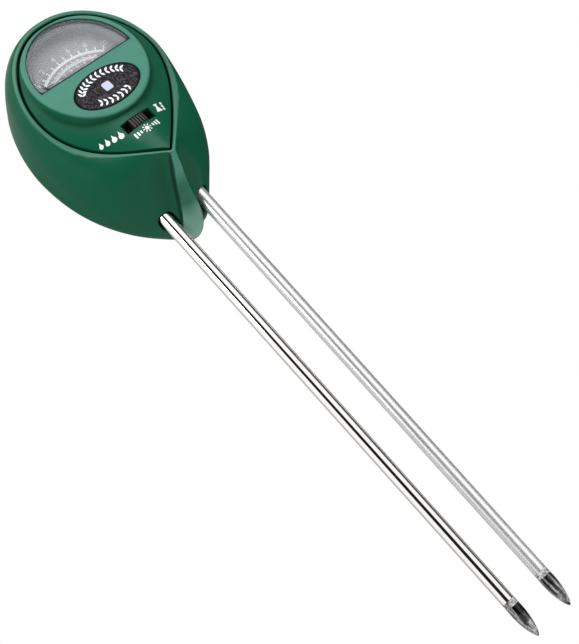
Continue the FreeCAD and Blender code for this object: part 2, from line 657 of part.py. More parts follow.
# knob: ribbed top, neck through the frame, slider block inside
knob = box(-KNOB_W / 2, KNOB_W / 2, 1.75, SW_Y0 - 0.15, SLOT_V - KNOB_H / 2, SLOT_V + KNOB_H / 2)
e = [q for q in knob.Edges if q.BoundBox.YLength < 1e-6 and abs(q.BoundBox.YMin - 1.75) < 1e-6]
knob = knob.makeFillet(0.35, e)
for i in range(5):
    x = -2.2 + 1.1 * i
    knob = knob.cut(box(x - 0.26, x + 0.26, 0.5, 2.45, SLOT_V - KNOB_H, SLOT_V + KNOB_H))
knob = knob.fuse(box(-KNOB_W / 2 + 0.6, KNOB_W / 2 - 0.6, SW_Y0 - 0.2, SW_Y0 + 0.75, SLOT_V - 1.3, SLOT_V + 1.3))
knob = knob.fuse(box(-4.0, 4.0, SW_Y0 + 0.7, SW_Y0 + 2.2, SLOT_V - 2.5, SLOT_V + 2.6))
parts["switch_knob"] = solid(face_frame(solid(knob.removeSplitter())))
# contact bridges carried under the slider
br = []
for tz in (-1.5, 1.5):
    b = box(-3.2, 3.2, SW_Y0 + 2.2, SW_Y0 + 2.45, SLOT_V + tz - 0.7, SLOT_V + tz + 0.7)
    for bx in (-2.2, 2.2):
        b = b.fuse(box(bx - 0.4, bx + 0.4, SW_Y0 + 2.45, SW_Y0 + 3.15, SLOT_V + tz - 0.5, SLOT_V + tz + 0.5))
    br.append(solid(face_frame(solid(b.removeSplitter()))))
parts["switch_contacts"] = Part.makeCompound(br)
# detent leaf along the upper wall of the frame
leaf = box(-8.0, 8.0, SW_Y0 + 0.9, SW_Y0 + 2.0, SLOT_V + 2.7, SLOT_V + 2.88)
parts["switch_detent_leaf"] = solid(face_frame(leaf))

# --- dial plate ------------------------------------------------------------------------
D0, D1 = DIAL_D, DIAL_D + 0.5
DR0 = 2.7                     # front edge of the tray wall
dial = half_moon(DIAL_R, -4.6, D0, D1, 0.0)
wall = ycyl(DIAL_R, 0, 0.1, DR0, D1).cut(ycyl(DIAL_R - 0.5, 0, 0.1, DR0 - 1, D1 + 1)).common(box(-30, 30, 0, 20, -4.6, 30))
dial = dial.fuse(wall)
dial = dial.fuse(box(-17.4, 17.4, D0, D1, -10.0, -4.0))
dial = dial.cut(ycyl(6.0, 0, PIVOT_V + 9.5, D0 - 1, D1 + 1))
DIAL_SCREWS = [(-15.2, -7.6), (15.2, -7.6)]
for x, z in DIAL_SCREWS:
    dial = dial.cut(ycyl(0.85, x, z, D0 - 1, D1 + 1))
parts["dial_plate"] = solid(face_frame(solid(dial.removeSplitter())))


def screw_front(x, z, y_head, head_h, head_r, shank_r, y_tip):
    # head towards -Y (face frame), shank runs to +Y
    s = ycyl(head_r, x, z, y_head, y_head + head_h)
    s = s.fuse(ycyl(shank_r, x, z, y_head + head_h - 0.01, y_tip))
    s = s.cut(box(x - head_r * 1.2, x + head_r * 1.2, y_head - 1, y_head + head_h * 0.45, z - 0.18, z + 0.18))
    return solid(s)


ds = [solid(face_frame(screw_front(x, z, D0 - 0.7, 0.7, 1.5, 0.8, D0 + 3.6))) for x, z in DIAL_SCREWS]
parts["dial_screws"] = Part.makeCompound(ds)

# --- moving-coil movement (axis along the depth, through (0, PIVOT_V)) ------------------
CUP_R, CUP_T = 12.6, 1.0
M0, M1 = 11.6, 22.0          # cup mouth and inner face of its back wall
BR0, BR1 = 5.6, 6.4          # front bridge
BRIDGE_X = 10.9              # its screws
cup = ycyl(CUP_R, 0, PIVOT_V, M0, M1 + 1.4)
# arms that carry the dial and the front bridge
for sx in (-1, 1):
    arm = box(min(sx * 13.2, sx * 17.2), max(sx * 13.2, sx * 17.2), D1 + 0.02, 14.0, -9.8, -5.4)
    arm = arm.fuse(box(min(sx * 10.6, sx * 17.2), max(sx * 10.6, sx * 17.2), M0, M0 + 2.4, -12.0, -5.4))
    arm = arm.fuse(box(min(sx * 10.6, sx * 14.4), max(sx * 10.6, sx * 14.4), M0, M0 + 2.4, PIVOT_V - 1.5, -5.4))
    pad = box(min(sx * 9.1, sx * 12.7), max(sx * 9.1, sx * 12.7), BR1 + 0.02, 14.0, PIVOT_V - 2.0, PIVOT_V + 2.0)
    cup = cup.fuse(arm).fuse(pad)
cup = cup.cut(ycyl(CUP_R - CUP_T, 0, PIVOT_V, M0 + 0.45, M1))
cup = cup.cut(ycyl(9.05, 0, PIVOT_V, M0 - 6.0, M0 + 1.0))
for sx in (-1, 1):
    cup = cup.cut(ycyl(0.82, sx * 15.2, -7.6, D1, D1 + 4.6))
    cup = cup.cut(ycyl(0.82, sx * BRIDGE_X, PIVOT_V, BR1 - 1, 11.2))
cup = cup.cut(ycyl(1.02, 0, PIVOT_V, M1 - 1, M1 + 3))
# slots that take the ends of the core bar
for sz in (-1, 1):
    zc = PIVOT_V + sz * 11.2
    cup = cup.cut(box(-2.05, 2.05, M1 - 0.4, M1 + 0.0, min(zc, PIVOT_V), max(zc, PIVOT_V)))
cup = face_frame(solid(cup.removeSplitter()))
# lugs by which the movement is screwed to the arms of the case
for sx in (-1, 1):
    cup = cup.fuse(box(min(sx * 11.0, sx * 19.2), max(sx * 11.0, sx * 19.2), -3.0, -1.2, 38.4, 44.6))
inner = face_frame(ycyl(CUP_R - CUP_T, 0, PIVOT_V, M0 + 0.45, M1))
cup = cup.cut(inner)
for sx in (-1, 1):
    cup = cup.cut(ycyl(1.2, sx * MOVE_SCREW_X, MOVE_SCREW_Z, -4.0, 0.0))
parts["movement_frame"] = solid(cup.removeSplitter())
parts["movement_screws"] = Part.makeCompound([screw_y(sx * MOVE_SCREW_X, MOVE_SCREW_Z, -0.1, 1.1, 2.0, 1.1, -5.6) for sx in (-1, 1)])
YR0, YR1 = 9.2, CUP_R - CUP_T - 0.05
yoke = ycyl(YR1, 0, PIVOT_V, M0 + 0.6, M1 - 0.5).cut(ycyl(YR0, 0, PIVOT_V, M0 - 1, M1 + 1))
parts["flux_ring"] = solid(face_frame(yoke))
CORE_R = 5.2
core = ycyl(CORE_R, 0, PIVOT_V, 13.6, 19.2).cut(ycyl(0.9, 0, PIVOT_V, 12, 21))
parts["core_magnet"] = solid(face_frame(solid(core)))
# thin bar across the cup: holds the core by its top and bottom
barp = []
for sz in (-1, 1):
    za, zb = sorted((PIVOT_V + sz * (CORE_R - 0.0), PIVOT_V + sz * (YR0)))
    b = box(-1.6, 1.6, 14.6, 18.2, za, zb)
    b = b.cut(ycyl(CORE_R, 0, PIVOT_V, 10, 25)).common(ycyl(YR0, 0, PIVOT_V, 10, 25))
    barp.append(solid(face_frame(solid(b))))
parts["core_supports"] = Part.makeCompound(barp)
# coil former: rectangular frame whose plane holds the axis
CO, CI = 8.5, 6.1
FW = 2.6
former = box(-CO + 0.9, CO - 0.9, 12.3, 20.5, PIVOT_V - FW / 2, PIVOT_V + FW / 2)
former = former.cut(box(-CI, CI, 13.1, 19.7, PIVOT_V - FW, PIVOT_V + FW))
former = former.cut(ycyl(0.45, 0, PIVOT_V, 10, 24))
wind = box(-CO, CO, 11.9, 20.9, PIVOT_V - 1.0, PIVOT_V + 1.0)
wind = wind.cut(box(-CO + 0.9, CO - 0.9, 12.3, 20.5, PIVOT_V - 2, PIVOT_V + 2))
wind = wind.cut(ycyl(0.45, 0, PIVOT_V, 10, 24))
# spindles: two short pivots cemented to the coil
sp = []
s = ycyl(0.45, 0, PIVOT_V, 6.9, 13.1).fuse(Part.makeCone(0.12, 0.45, 0.7, V(0, 6.2, PIVOT_V), V(0, 1, 0)))
s = s.fuse(ycyl(1.1, 0, PIVOT_V, 10.9, 11.9))
sp.append(solid(face_frame(solid(s.removeSplitter()))))
s = ycyl(0.45, 0, PIVOT_V, 19.7, 22.6).fuse(Part.makeCone(0.45, 0.12, 0.7, V(0, 22.6, PIVOT_V), V(0, 1, 0)))
sp.append(solid(face_frame(solid(s.removeSplitter()))))
parts["spindles"] = Part.makeCompound(sp)
# pointer: hub, tapering blade and short tail, drawn upright then turned to zero
ZERO = -29.0
SWEEP = 58.0
PY0, PY1 = 6.95, 7.3
hub = ycyl(1.5, 0, 0, PY0, PY1 + 0.9)
blade = Part.Face(Part.makePolygon([V(-0.75, PY0, 0), V(-0.22, PY0, 30.5), V(0.22, PY0, 30.5), V(0.75, PY0, 0), V(-0.75, PY0, 0)])).extrude(V(0, PY1 - PY0, 0))
tail = box(-0.6, 0.6, PY0, PY1, -4.3, 0)
cross = box(-3.6, 3.6, PY0, PY1, -0.5, 0.5)
ptr = hub.fuse(blade).fuse(tail).fuse(cross).cut(ycyl(0.45, 0, 0, 5, 9))
ptr = solid(ptr.removeSplitter())
wts = [solid(ycyl(0.9, 0, -3.3, PY1, PY1 + 0.8)), solid(ycyl(0.7, -2.9, 0, PY1, PY1 + 0.7)), solid(ycyl(0.7, 2.9, 0, PY1, PY1 + 0.7))]


def at_zero(s):
    s = s.copy()
    # turn anticlockwise for the reader, then move to the pivot
    s.rotate(V(0, 0, 0), V(0, 1, 0), ZERO)
    s.translate(V(0, 0, PIVOT_V))
    return s


parts["pointer"] = solid(face_frame(at_zero(ptr)))
parts["balance_weights"] = Part.makeCompound([solid(face_frame(at_zero(w))) for w in wts])


def coil_turn(s):
    s = s.copy()
    s.rotate(V(0, 0, PIVOT_V), V(0, 1, 0), ZERO)
    return s


# the coil stands level at mid scale, so at rest it is turned back with the pointer
former0 = coil_turn(former)
wind0 = coil_turn(wind)
parts["coil_former"] = solid(face_frame(solid(former0)))
parts["coil_winding"] = solid(face_frame(solid(wind0)))
# hairsprings: flat spirals round the spindles, ends held by fixed tags


def spiral(y, r0, r1, turns, w=0.22, h=0.45, n=14):
    pts = []
    m = int(turns * n)
    for i in range(m + 1):
        a = 2 * math.pi * turns * i / m
        r = r0 + (r1 - r0) * i / m
        pts.append((r * math.cos(a), r * math.sin(a), a))
    inner, outer_ = [], []
    for x, z, a in pts:
        inner.append(V(x - w / 2 * math.cos(a), y, z - w / 2 * math.sin(a)))
        outer_.append(V(x + w / 2 * math.cos(a), y, z + w / 2 * math.sin(a)))
    c1, c2 = Part.BSplineCurve(), Part.BSplineCurve()
    c1.interpolate(inner)
    c2.interpolate(outer_)
    wre = Part.Wire([c1.toShape(), Part.makeLine(inner[-1], outer_[-1]), c2.toShape(), Part.makeLine(outer_[0], inner[0])])
    wre.fixWire() if hasattr(wre, "fixWire") else None
    f = Part.Face(wre)
    s = f.extrude(V(0, h, 0))
    s.translate(V(0, 0, PIVOT_V))
    return solid(s)


def hairspring(y, r1, tag_sign):
    s = spiral(y, 1.0, r1, 3.5)
    ring = ycyl(0.95, 0, PIVOT_V, y, y + 0.45).cut(ycyl(0.51, 0, PIVOT_V, y - 1, y + 1))
    s = s.fuse(ring)
    return solid(s)


parts["hairspring_front"] = solid(face_frame(hairspring(9.0, 4.4, 1)))
parts["hairspring_rear"] = solid(face_frame(hairspring(21.2, 3.6, 1)))
# front bridge with its pivot screw, and the rear pivot screw in the cup
bridge = box(-12.6, 12.6, BR0, BR1, PIVOT_V - 2.0, PIVOT_V + 2.0)
bridge = bridge.fuse(ycyl(2.6, 0, PIVOT_V, BR0, BR1))
bridge = bridge.cut(ycyl(1.0, 0, PIVOT_V, 4, 7))
for sx in (-1, 1):
    bridge = bridge.cut(ycyl(0.85, sx * BRIDGE_X, PIVOT_V, 4, 7))
parts["movement_bridge"] = solid(face_frame(solid(bridge.removeSplitter())))
js = ycyl(1.0, 0, PIVOT_V, 4.4, 6.85).cut(Part.makeCone(0.10, 0.52, 0.75, V(0, 6.12, PIVOT_V), V(0, 1, 0)))
js = js.cut(box(-1.2, 1.2, 3.0, 4.8, PIVOT_V - 0.15, PIVOT_V + 0.15))
parts["pivot_screw_front"] = solid(face_frame(solid(js)))
js = ycyl(1.0, 0, PIVOT_V, 22.68, 25.0).cut(Part.makeCone(0.52, 0.10, 0.75, V(0, 22.63, PIVOT_V), V(0, 1, 0)))
js = js.cut(box(-1.2, 1.2, 24.6, 26.0, PIVOT_V - 0.15, PIVOT_V + 0.15))
parts["pivot_screw_rear"] = solid(face_frame(solid(js)))
bs = [solid(face_frame(screw_front(sx * BRIDGE_X, PIVOT_V, BR0 - 0.65, 0.65, 1.4, 0.8, 10.8))) for sx in (-1, 1)]
parts["bridge_screws"] = Part.makeCompound(bs)
# pointer stops: two pegs on the dial plate, just outside the sweep
st = []
for ang in (ZERO - 3.2, ZERO + SWEEP + 3.2):
    a = math.radians(ang)
    r = 22.0
    st.append(solid(face_frame(ycyl(0.5, r * math.sin(a), PIVOT_V + r * math.cos(a), D0 - 1.4, D0))))
parts["pointer_stops"] = Part.makeCompound(st)

for k in ("spindles", "movement_frame", "dial_plate", "pointer"):
    print(k, parts[k].isValid(), [s.isValid() for s in parts[k].Solids], round(parts[k].Volume, 2))

# --- probes -----------------------------------------------------------------------------
BASE_Z = TIP_Z + TIP_LEN                 # shoulder of the pointed tip
TUBE_Z = BASE_Z + COLLAR_LEN             # lower end of the metal tube
BORE = PROBE_R - PROBE_WALL
for side, sx in (("left", -1), ("right", 1)):
    X = sx * PROBE_X
    tube = zcyl(PROBE_R, X, 0, TUBE_Z, NECK_Z).fuse(zcyl(NECK_R, X, 0, NECK_Z - 1.0, PROBE_TOP)).removeSplitter()
    tube = tube.cut(zcyl(BORE, X, 0, TUBE_Z - 1, PROBE_TOP + 1))
    parts["probe_tube_" + side] = solid(tube)
    col = zcyl(PROBE_R - 0.02, X, 0, BASE_Z, TUBE_Z)
    e = [q for q in col.Edges if q.BoundBox.ZLength < 1e-6]
    col = col.makeFillet(0.22, e)
    col = col.cut(zcyl(1.6, X, 0, BASE_Z - 1, TUBE_Z + 1))
    parts["probe_collar_" + side] = solid(col)
    # bullet-shaped tip with a spigot that goes up into the tube
    prof = [(PROBE_R, BASE_Z), (2.64, BASE_Z - 1.8), (2.56, BASE_Z - 4.2), (2.28, BASE_Z - 6.8), (1.82, BASE_Z - 9.2), (1.28, BASE_Z - 11.1), (0.70, BASE_Z - 12.5), (0.0, BASE_Z - TIP_LEN)]
    c = Part.BSplineCurve()
    c.interpolate([V(X + r, 0, z) for r, z in prof], InitialTangent=V(0, 0, -1), FinalTangent=V(-1, 0, -0.35))
    w = Part.Wire([c.toShape(), Part.makeLine(V(X, 0, TIP_Z), V(X, 0, BASE_Z)), Part.makeLine(V(X, 0, BASE_Z), V(X + PROBE_R, 0, BASE_Z))])
    tip = solid(Part.Face(w).revolve(V(X, 0, 0), V(0, 0, 1), 360))
    tip = tip.fuse(zcyl(1.55, X, 0, BASE_Z, TUBE_Z).fuse(zcyl(BORE - 0.03, X, 0, TUBE_Z, TUBE_Z + 5.5)))
    parts["probe_tip_" + side] = solid(tip.removeSplitter())
    # solder tag clipped in the upper end
    tag = zcyl(BORE - 0.03, X, 0, PROBE_TOP - 3.0, PROBE_TOP).fuse(zcyl(3.0, X, 0, PROBE_TOP, PROBE_TOP + 0.5))
    tag = tag.fuse(box(X - 1.0, X + 1.0, 0.0, 5.4, PROBE_TOP, PROBE_TOP + 0.5))
    tag = tag.cut(zcyl(0.6, X, 4.4, PROBE_TOP - 1, PROBE_TOP + 2))
    parts["probe_tag_" + side] = solid(tag.removeSplitter())

# saddle that clamps both tubes against the pillar, and its screw
clamp = box(-13.0, 13.0, 0.25, 4.6, 10.5, 16.5)
for sx in (-1, 1):
    clamp = clamp.cut(zcyl(NECK_R, sx * PROBE_X, 0, 5, 22))
clamp = clamp.cut(ycyl(1.3, 0, 13.5, -1, 6))
e = [q for q in clamp.Edges if abs(q.BoundBox.YMin - 4.6) < 1e-6 and q.BoundBox.YLength < 1e-6 and q.BoundBox.ZLength < 1e-6 and q.BoundBox.XLength > 20]
clamp = clamp.makeFillet(1.0, e)
parts["probe_clamp"] = solid(clamp)
parts["clamp_screw"] = screw_y(0.0, 13.5, 4.6 + 1.3, 1.3, 2.1, 1.10, -3.6)

# --- circuit board -----------------------------------------------------------------------
bd = box(-19.0, 19.0, BOARD_Y0, BOARD_Y1, 27.0, 72.0)
e = [q for q in bd.Edges if abs(q.BoundBox.YLength - 1.5) < 1e-6]
bd = bd.makeFillet(3.0, e)
for x, z in BOARD_SCREWS:
    bd = bd.cut(ycyl(1.3, x, z, BOARD_Y0 - 1, BOARD_Y1 + 1))
parts["circuit_board"] = solid(bd)
# resistors lie across the rear face of the board
rs = []
for z in (44.0, 48.0, 52.0, 56.0):
    r = Part.makeCylinder(1.1, 6.0, V(-3.0, BOARD_Y1 + 1.15, z), V(1, 0, 0))
    e = [q for q in r.Edges if q.BoundBox.XLength < 1e-6]
    r = r.makeFillet(0.5, e)
    rs.append(solid(r))
parts["resistors"] = Part.makeCompound(rs)
pot = box(8.0, 14.0, BOARD_Y1, BOARD_Y1 + 2.2, 45.0, 52.0).fuse(ycyl(2.2, 11.0, 48.5, BOARD_Y1, BOARD_Y1 + 2.7))
pot = pot.cut(box(9.2, 12.8, BOARD_Y1 + 2.2, BOARD_Y1 + 4, 48.2, 48.8))
parts["trim_resistor"] = solid(pot.removeSplitter())


def route(pts, r, bend=3.0):
    # round wire of straight runs joined by tangent arcs
    edges = []
    P = [V(*p) for p in pts]
    cur = P[0]
    for i in range(1, len(P) - 1):
        a, b, c = P[i - 1], P[i], P[i + 1]
        d1, d2 = (a - b), (c - b)
        l1, l2 = d1.Length, d2.Length
        d1.normalize()
        d2.normalize()
        turn = math.pi - d1.getAngle(d2)
        R = 0.45 * min(l1, l2) / math.tan(turn / 2)
        t = 0.45 * min(l1, l2)
        p1, p2 = b + d1 * t, b + d2 * t
        bis = (d1 + d2)
        bis.normalize()
        cen = b + bis * (R / math.cos(turn / 2))
        mid = cen - bis * R
        edges.append(Part.makeLine(cur, p1))
        edges.append(Part.Arc(p1, mid, p2).toShape())
        cur = p2
    edges.append(Part.makeLine(cur, P[-1]))
    w = Part.Wire(edges)
    t0 = P[1] - P[0]
    circ = Part.Wire([Part.makeCircle(r, P[0], t0)])
    s = w.makePipeShell([circ], True, False, 1)
    s = solid(s)
    L = sum(e.Length for e in edges)
    print("wire", round(L, 1), "mm, volume ratio", round(s.Volume / (math.pi * r * r * L), 4), s.isValid())
    return s


# insulated leads: each probe tag to the board, and the movement to the board
parts["lead_probe_left"] = route([(-PROBE_X, 3.1, PROBE_TOP + 1.15), (-PROBE_X - 1.6, 4.2, PROBE_TOP + 4.2), (-PROBE_X - 1.2, 5.0, PROBE_TOP + 8.0), (-PROBE_X + 0.6, BOARD_Y0 - 0.62, PROBE_TOP + 10.6)], 0.55)
parts["lead_probe_right"] = route([(PROBE_X, 3.1, PROBE_TOP + 1.15), (PROBE_X + 1.6, 4.2, PROBE_TOP + 4.2), (PROBE_X + 1.2, 5.0, PROBE_TOP + 8.0), (PROBE_X - 0.6, BOARD_Y0 - 0.62, PROBE_TOP + 10.6)], 0.55)
bsx = []
for x, z in BOARD_SCREWS:
    bsx.append(screw_y(x, z, BOARD_Y1 + 1.1, 1.1, 2.0, 1.1, 2.2))
parts["board_screws"] = Part.makeCompound(bsx)

for n, s in parts.items():
    s.exportStep("parts/%s.step" % n)
    b = s.BoundBox
    ok = all(q.isValid() for q in s.Solids)
    print("%-22s %d solid(s) %s  vol %9.2f  x %7.2f %7.2f  y %7.2f %7.2f  z %8.2f %8.2f" % (n, len(s.Solids), "ok" if ok else "BAD", s.Volume, b.XMin, b.XMax, b.YMin, b.YMax, b.ZMin, b.ZMax))
print(len(parts), "nodes")
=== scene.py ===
import math

import bpy
import bmesh
from mathutils import Matrix, Vector
from mathutils.bvhtree import BVHTree


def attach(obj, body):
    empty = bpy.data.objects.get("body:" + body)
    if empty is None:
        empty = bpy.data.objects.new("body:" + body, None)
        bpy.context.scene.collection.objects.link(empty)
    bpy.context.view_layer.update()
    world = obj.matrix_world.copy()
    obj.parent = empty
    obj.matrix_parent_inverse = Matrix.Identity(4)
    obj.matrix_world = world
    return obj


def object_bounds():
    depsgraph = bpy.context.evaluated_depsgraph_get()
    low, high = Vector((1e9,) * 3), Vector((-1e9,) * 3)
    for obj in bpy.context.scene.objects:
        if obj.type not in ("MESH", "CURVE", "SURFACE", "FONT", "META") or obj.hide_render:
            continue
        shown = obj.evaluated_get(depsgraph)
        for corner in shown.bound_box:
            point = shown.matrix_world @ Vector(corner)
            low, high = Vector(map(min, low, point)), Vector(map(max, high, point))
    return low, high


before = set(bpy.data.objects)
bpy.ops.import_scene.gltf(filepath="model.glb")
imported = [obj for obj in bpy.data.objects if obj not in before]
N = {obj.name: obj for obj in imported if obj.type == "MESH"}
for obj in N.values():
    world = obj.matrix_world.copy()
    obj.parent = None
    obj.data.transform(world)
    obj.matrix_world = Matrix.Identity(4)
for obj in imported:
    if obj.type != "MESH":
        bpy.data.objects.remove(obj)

CAD_BOX = [list(v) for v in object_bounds()]
scene = bpy.context.scene
coll = scene.collection
MM = 0.001

# ---------------------------------------------------------------------------
# face frame: origin at the centre of the reading disc, y = depth behind it
# ---------------------------------------------------------------------------
TILT = math.radians(-8.3)
DISC_O = Vector((0, -16.8, 64.0))


def F(x, y, z):
    return Vector((x, DISC_O.y + y * math.cos(TILT) - z * math.sin(TILT), DISC_O.z + y * math.sin(TILT) + z * math.cos(TILT))) * MM


FACE_IN = (F(0, 1, 0) - F(0, 0, 0)).normalized()      # into the head
FACE_OUT = -FACE_IN

# ---------------------------------------------------------------------------
# camera
# ---------------------------------------------------------------------------
PSI, PHI, RHO = -0.4791457453165195, -0.1403276974688835, -0.7319471533671297
TX, TY, DIST = -34.984159046211666, 37.938896000602504, 676.0829243319632
FOC = 1877.2843814414575
back = Vector((math.sin(PSI) * math.cos(PHI), -math.cos(PSI) * math.cos(PHI), math.sin(PHI)))
right = Vector((0, 0, 1)).cross(back).normalized()
up2 = back.cross(right)
cr, sr = math.cos(RHO), math.sin(RHO)
cam_r = cr * right + sr * up2
cam_u = -sr * right + cr * up2
cam_loc = -(cam_r * TX + cam_u * TY + back * (-DIST)) * MM
cam_data = bpy.data.cameras.new("camera")
cam = bpy.data.objects.new("camera", cam_data)
coll.objects.link(cam)
cam_data.sensor_width = 36.0
cam_data.sensor_fit = "AUTO"
cam_data.lens = FOC * 36.0 / 644.0
cam_data.clip_start, cam_data.clip_end = 0.02, 50.0
rot = Matrix((cam_r, cam_u, back)).transposed()
cam.matrix_world = Matrix.Translation(cam_loc) @ rot.to_4x4()
scene.camera = cam

scene.view_settings.view_transform = "Standard"
scene.view_settings.look = "None"
scene.view_settings.exposure = 0.0
scene.view_settings.gamma = 1.0


# ---------------------------------------------------------------------------
# node helpers
# ---------------------------------------------------------------------------
def new_mat(name):
    m = bpy.data.materials.new(name)
    m.use_nodes = True
    nt = m.node_tree
    for n in list(nt.nodes):
        nt.nodes.remove(n)
    out = nt.nodes.new("ShaderNodeOutputMaterial")
    b = nt.nodes.new("ShaderNodeBsdfPrincipled")
    nt.links.new(b.outputs[0], out.inputs[0])
    return m, nt, b


def node(nt, kind, **kw):
    n = nt.nodes.new(kind)
    for k, v in kw.items():
        if k in n.inputs.keys():
            n.inputs[k].default_value = v
        else:
            setattr(n, k, v)
    return n


def obj_coord(nt, scale=(1, 1, 1), rot_=(0, 0, 0), loc=(0, 0, 0)):
    tc = nt.nodes.new("ShaderNodeTexCoord")
    mp = nt.nodes.new("ShaderNodeMapping")
    mp.inputs["Scale"].default_value = scale
    mp.inputs["Rotation"].default_value = rot_
    mp.inputs["Location"].default_value = loc
    nt.links.new(tc.outputs["Object"], mp.inputs["Vector"])
    return mp.outputs["Vector"]


def noise(nt, vec, scale, detail=3.0, rough=0.55):
    n = nt.nodes.new("ShaderNodeTexNoise")
    n.inputs["Scale"].default_value = scale
    n.inputs["Detail"].default_value = detail
    n.inputs["Roughness"].default_value = rough
    nt.links.new(vec, n.inputs["Vector"])
    return n.outputs["Fac"]


def ramp(nt, fac, stops):
    r = nt.nodes.new("ShaderNodeValToRGB")
    el = r.color_ramp.elements
    while len(el) > 1:
        el.remove(el[-1])
    el[0].position = stops[0][0]
    el[0].color = stops[0][1]
    for p, c in stops[1:]:
        e = el.new(p)
        e.color = c
    nt.links.new(fac, r.inputs["Fac"])
    return r.outputs["Color"]


def g(v):
    return (v, v, v, 1)


def maprange(nt, fac, a, b, c, d):
    n = nt.nodes.new("ShaderNodeMapRange")
    for i, v in zip((1, 2, 3, 4), (a, b, c, d)):
        n.inputs[i].default_value = v
    nt.links.new(fac, n.inputs[0])
    return n.outputs[0]


def mixc(nt, fac, a, b):
    n = nt.nodes.new("ShaderNodeMix")
    n.data_type = "RGBA"
    for sock, v in ((n.inputs[6], a), (n.inputs[7], b)):
        if hasattr(v, "is_output") or isinstance(v, bpy.types.NodeSocket):
            nt.links.new(v, sock)
        else:
            sock.default_value = v
    if isinstance(fac, bpy.types.NodeSocket):
        nt.links.new(fac, n.inputs[0])
    else:
        n.inputs[0].default_value = fac
    return n.outputs[2]


def math_(nt, op, a, b=None, clamp=False):
    n = nt.nodes.new("ShaderNodeMath")
    n.operation = op
    n.use_clamp = clamp
    for i, v in enumerate((a, b)):
        if v is None:
            continue
        if isinstance(v, bpy.types.NodeSocket):
            nt.links.new(v, n.inputs[i])
        else:
            n.inputs[i].default_value = v
    return n.outputs[0]


def bump(nt, bsdf, height, strength, distance, chain=None):
    n = nt.nodes.new("ShaderNodeBump")
    n.inputs["Strength"].default_value = strength
    n.inputs["Distance"].default_value = distance
    nt.links.new(height, n.inputs["Height"])
    if chain is not None:
        nt.links.new(chain, n.inputs["Normal"])
    nt.links.new(n.outputs["Normal"], bsdf.inputs["Normal"])
    return n.outputs["Normal"]


def setup(b, rough=0.5, metal=0.0, spec=0.5, coat=0.0, coat_rough=0.1, sheen=0.0):
    b.inputs["Roughness"].default_value = rough
    b.inputs["Metallic"].default_value = metal
    b.inputs["Specular IOR Level"].default_value = spec
    b.inputs["Coat Weight"].default_value = coat
    b.inputs["Coat Roughness"].default_value = coat_rough
    b.inputs["Sheen Weight"].default_value = sheen


def c4(c):
    return (c[0], c[1], c[2], 1.0)


def shade(c, k):
    return (c[0] * k, c[1] * k, c[2] * k, 1.0)


# ---------------------------------------------------------------------------
# materials
# ---------------------------------------------------------------------------
def plastic(name, col, rough=0.4, var=0.06, grain=0.00002, grain_scale=1600.0, coat=0.0, spec=0.5, coat_rough=0.12, blotch=120.0):
    m, nt, b = new_mat(name)
    v = obj_coord(nt)
    n1 = noise(nt, v, blotch, 4.0)
    n2 = noise(nt, v, 28.0, 2.0)
    s = math_(nt, "ADD", math_(nt, "MULTIPLY", n1, 0.5), math_(nt, "MULTIPLY", n2, 0.5))
    colr = ramp(nt, s, [(0.30, shade(col, 1 - var)), (0.5, c4(col)), (0.70, shade(col, 1 + var))])
    nt.links.new(colr, b.inputs["Base Color"])
    setup(b, rough, 0.0, spec, coat, coat_rough)
    r = maprange(nt, noise(nt, v, 70.0, 3.0), 0.3, 0.7, rough - 0.04, rough + 0.05)
    nt.links.new(r, b.inputs["Roughness"])
    fine = noise(nt, v, grain_scale, 2.0)
    bump(nt, b, fine, 0.35, grain)
    return m


def metal(name, col, rough=0.25, aniso_axis=None, var=0.05, scratch=0.00001, scale=900.0, spots=0.0):
    m, nt, b = new_mat(name)
    sc = (1, 1, 1)
    if aniso_axis == "z":
        sc = (1, 1, 0.03)
    elif aniso_axis == "x":
        sc = (0.03, 1, 1)
    elif aniso_axis == "ring":
        sc = (0.05, 0.05, 1.0)
    v = obj_coord(nt, scale=sc)
    v0 = obj_coord(nt)
    n1 = noise(nt, v, scale, 3.0)
    big = noise(nt, v0, 40.0, 3.0)
    colr = ramp(nt, math_(nt, "ADD", math_(nt, "MULTIPLY", n1, 0.4), math_(nt, "MULTIPLY", big, 0.6)),
                [(0.3, shade(col, 1 - var)), (0.5, c4(col)), (0.7, shade(col, 1 + var))])
    nt.links.new(colr, b.inputs["Base Color"])
    setup(b, rough, 1.0)
    r = maprange(nt, n1, 0.3, 0.7, max(rough - 0.04, 0.02), rough + 0.05)
    nt.links.new(r, b.inputs["Roughness"])
    bump(nt, b, n1, 0.25, scratch)
    return m


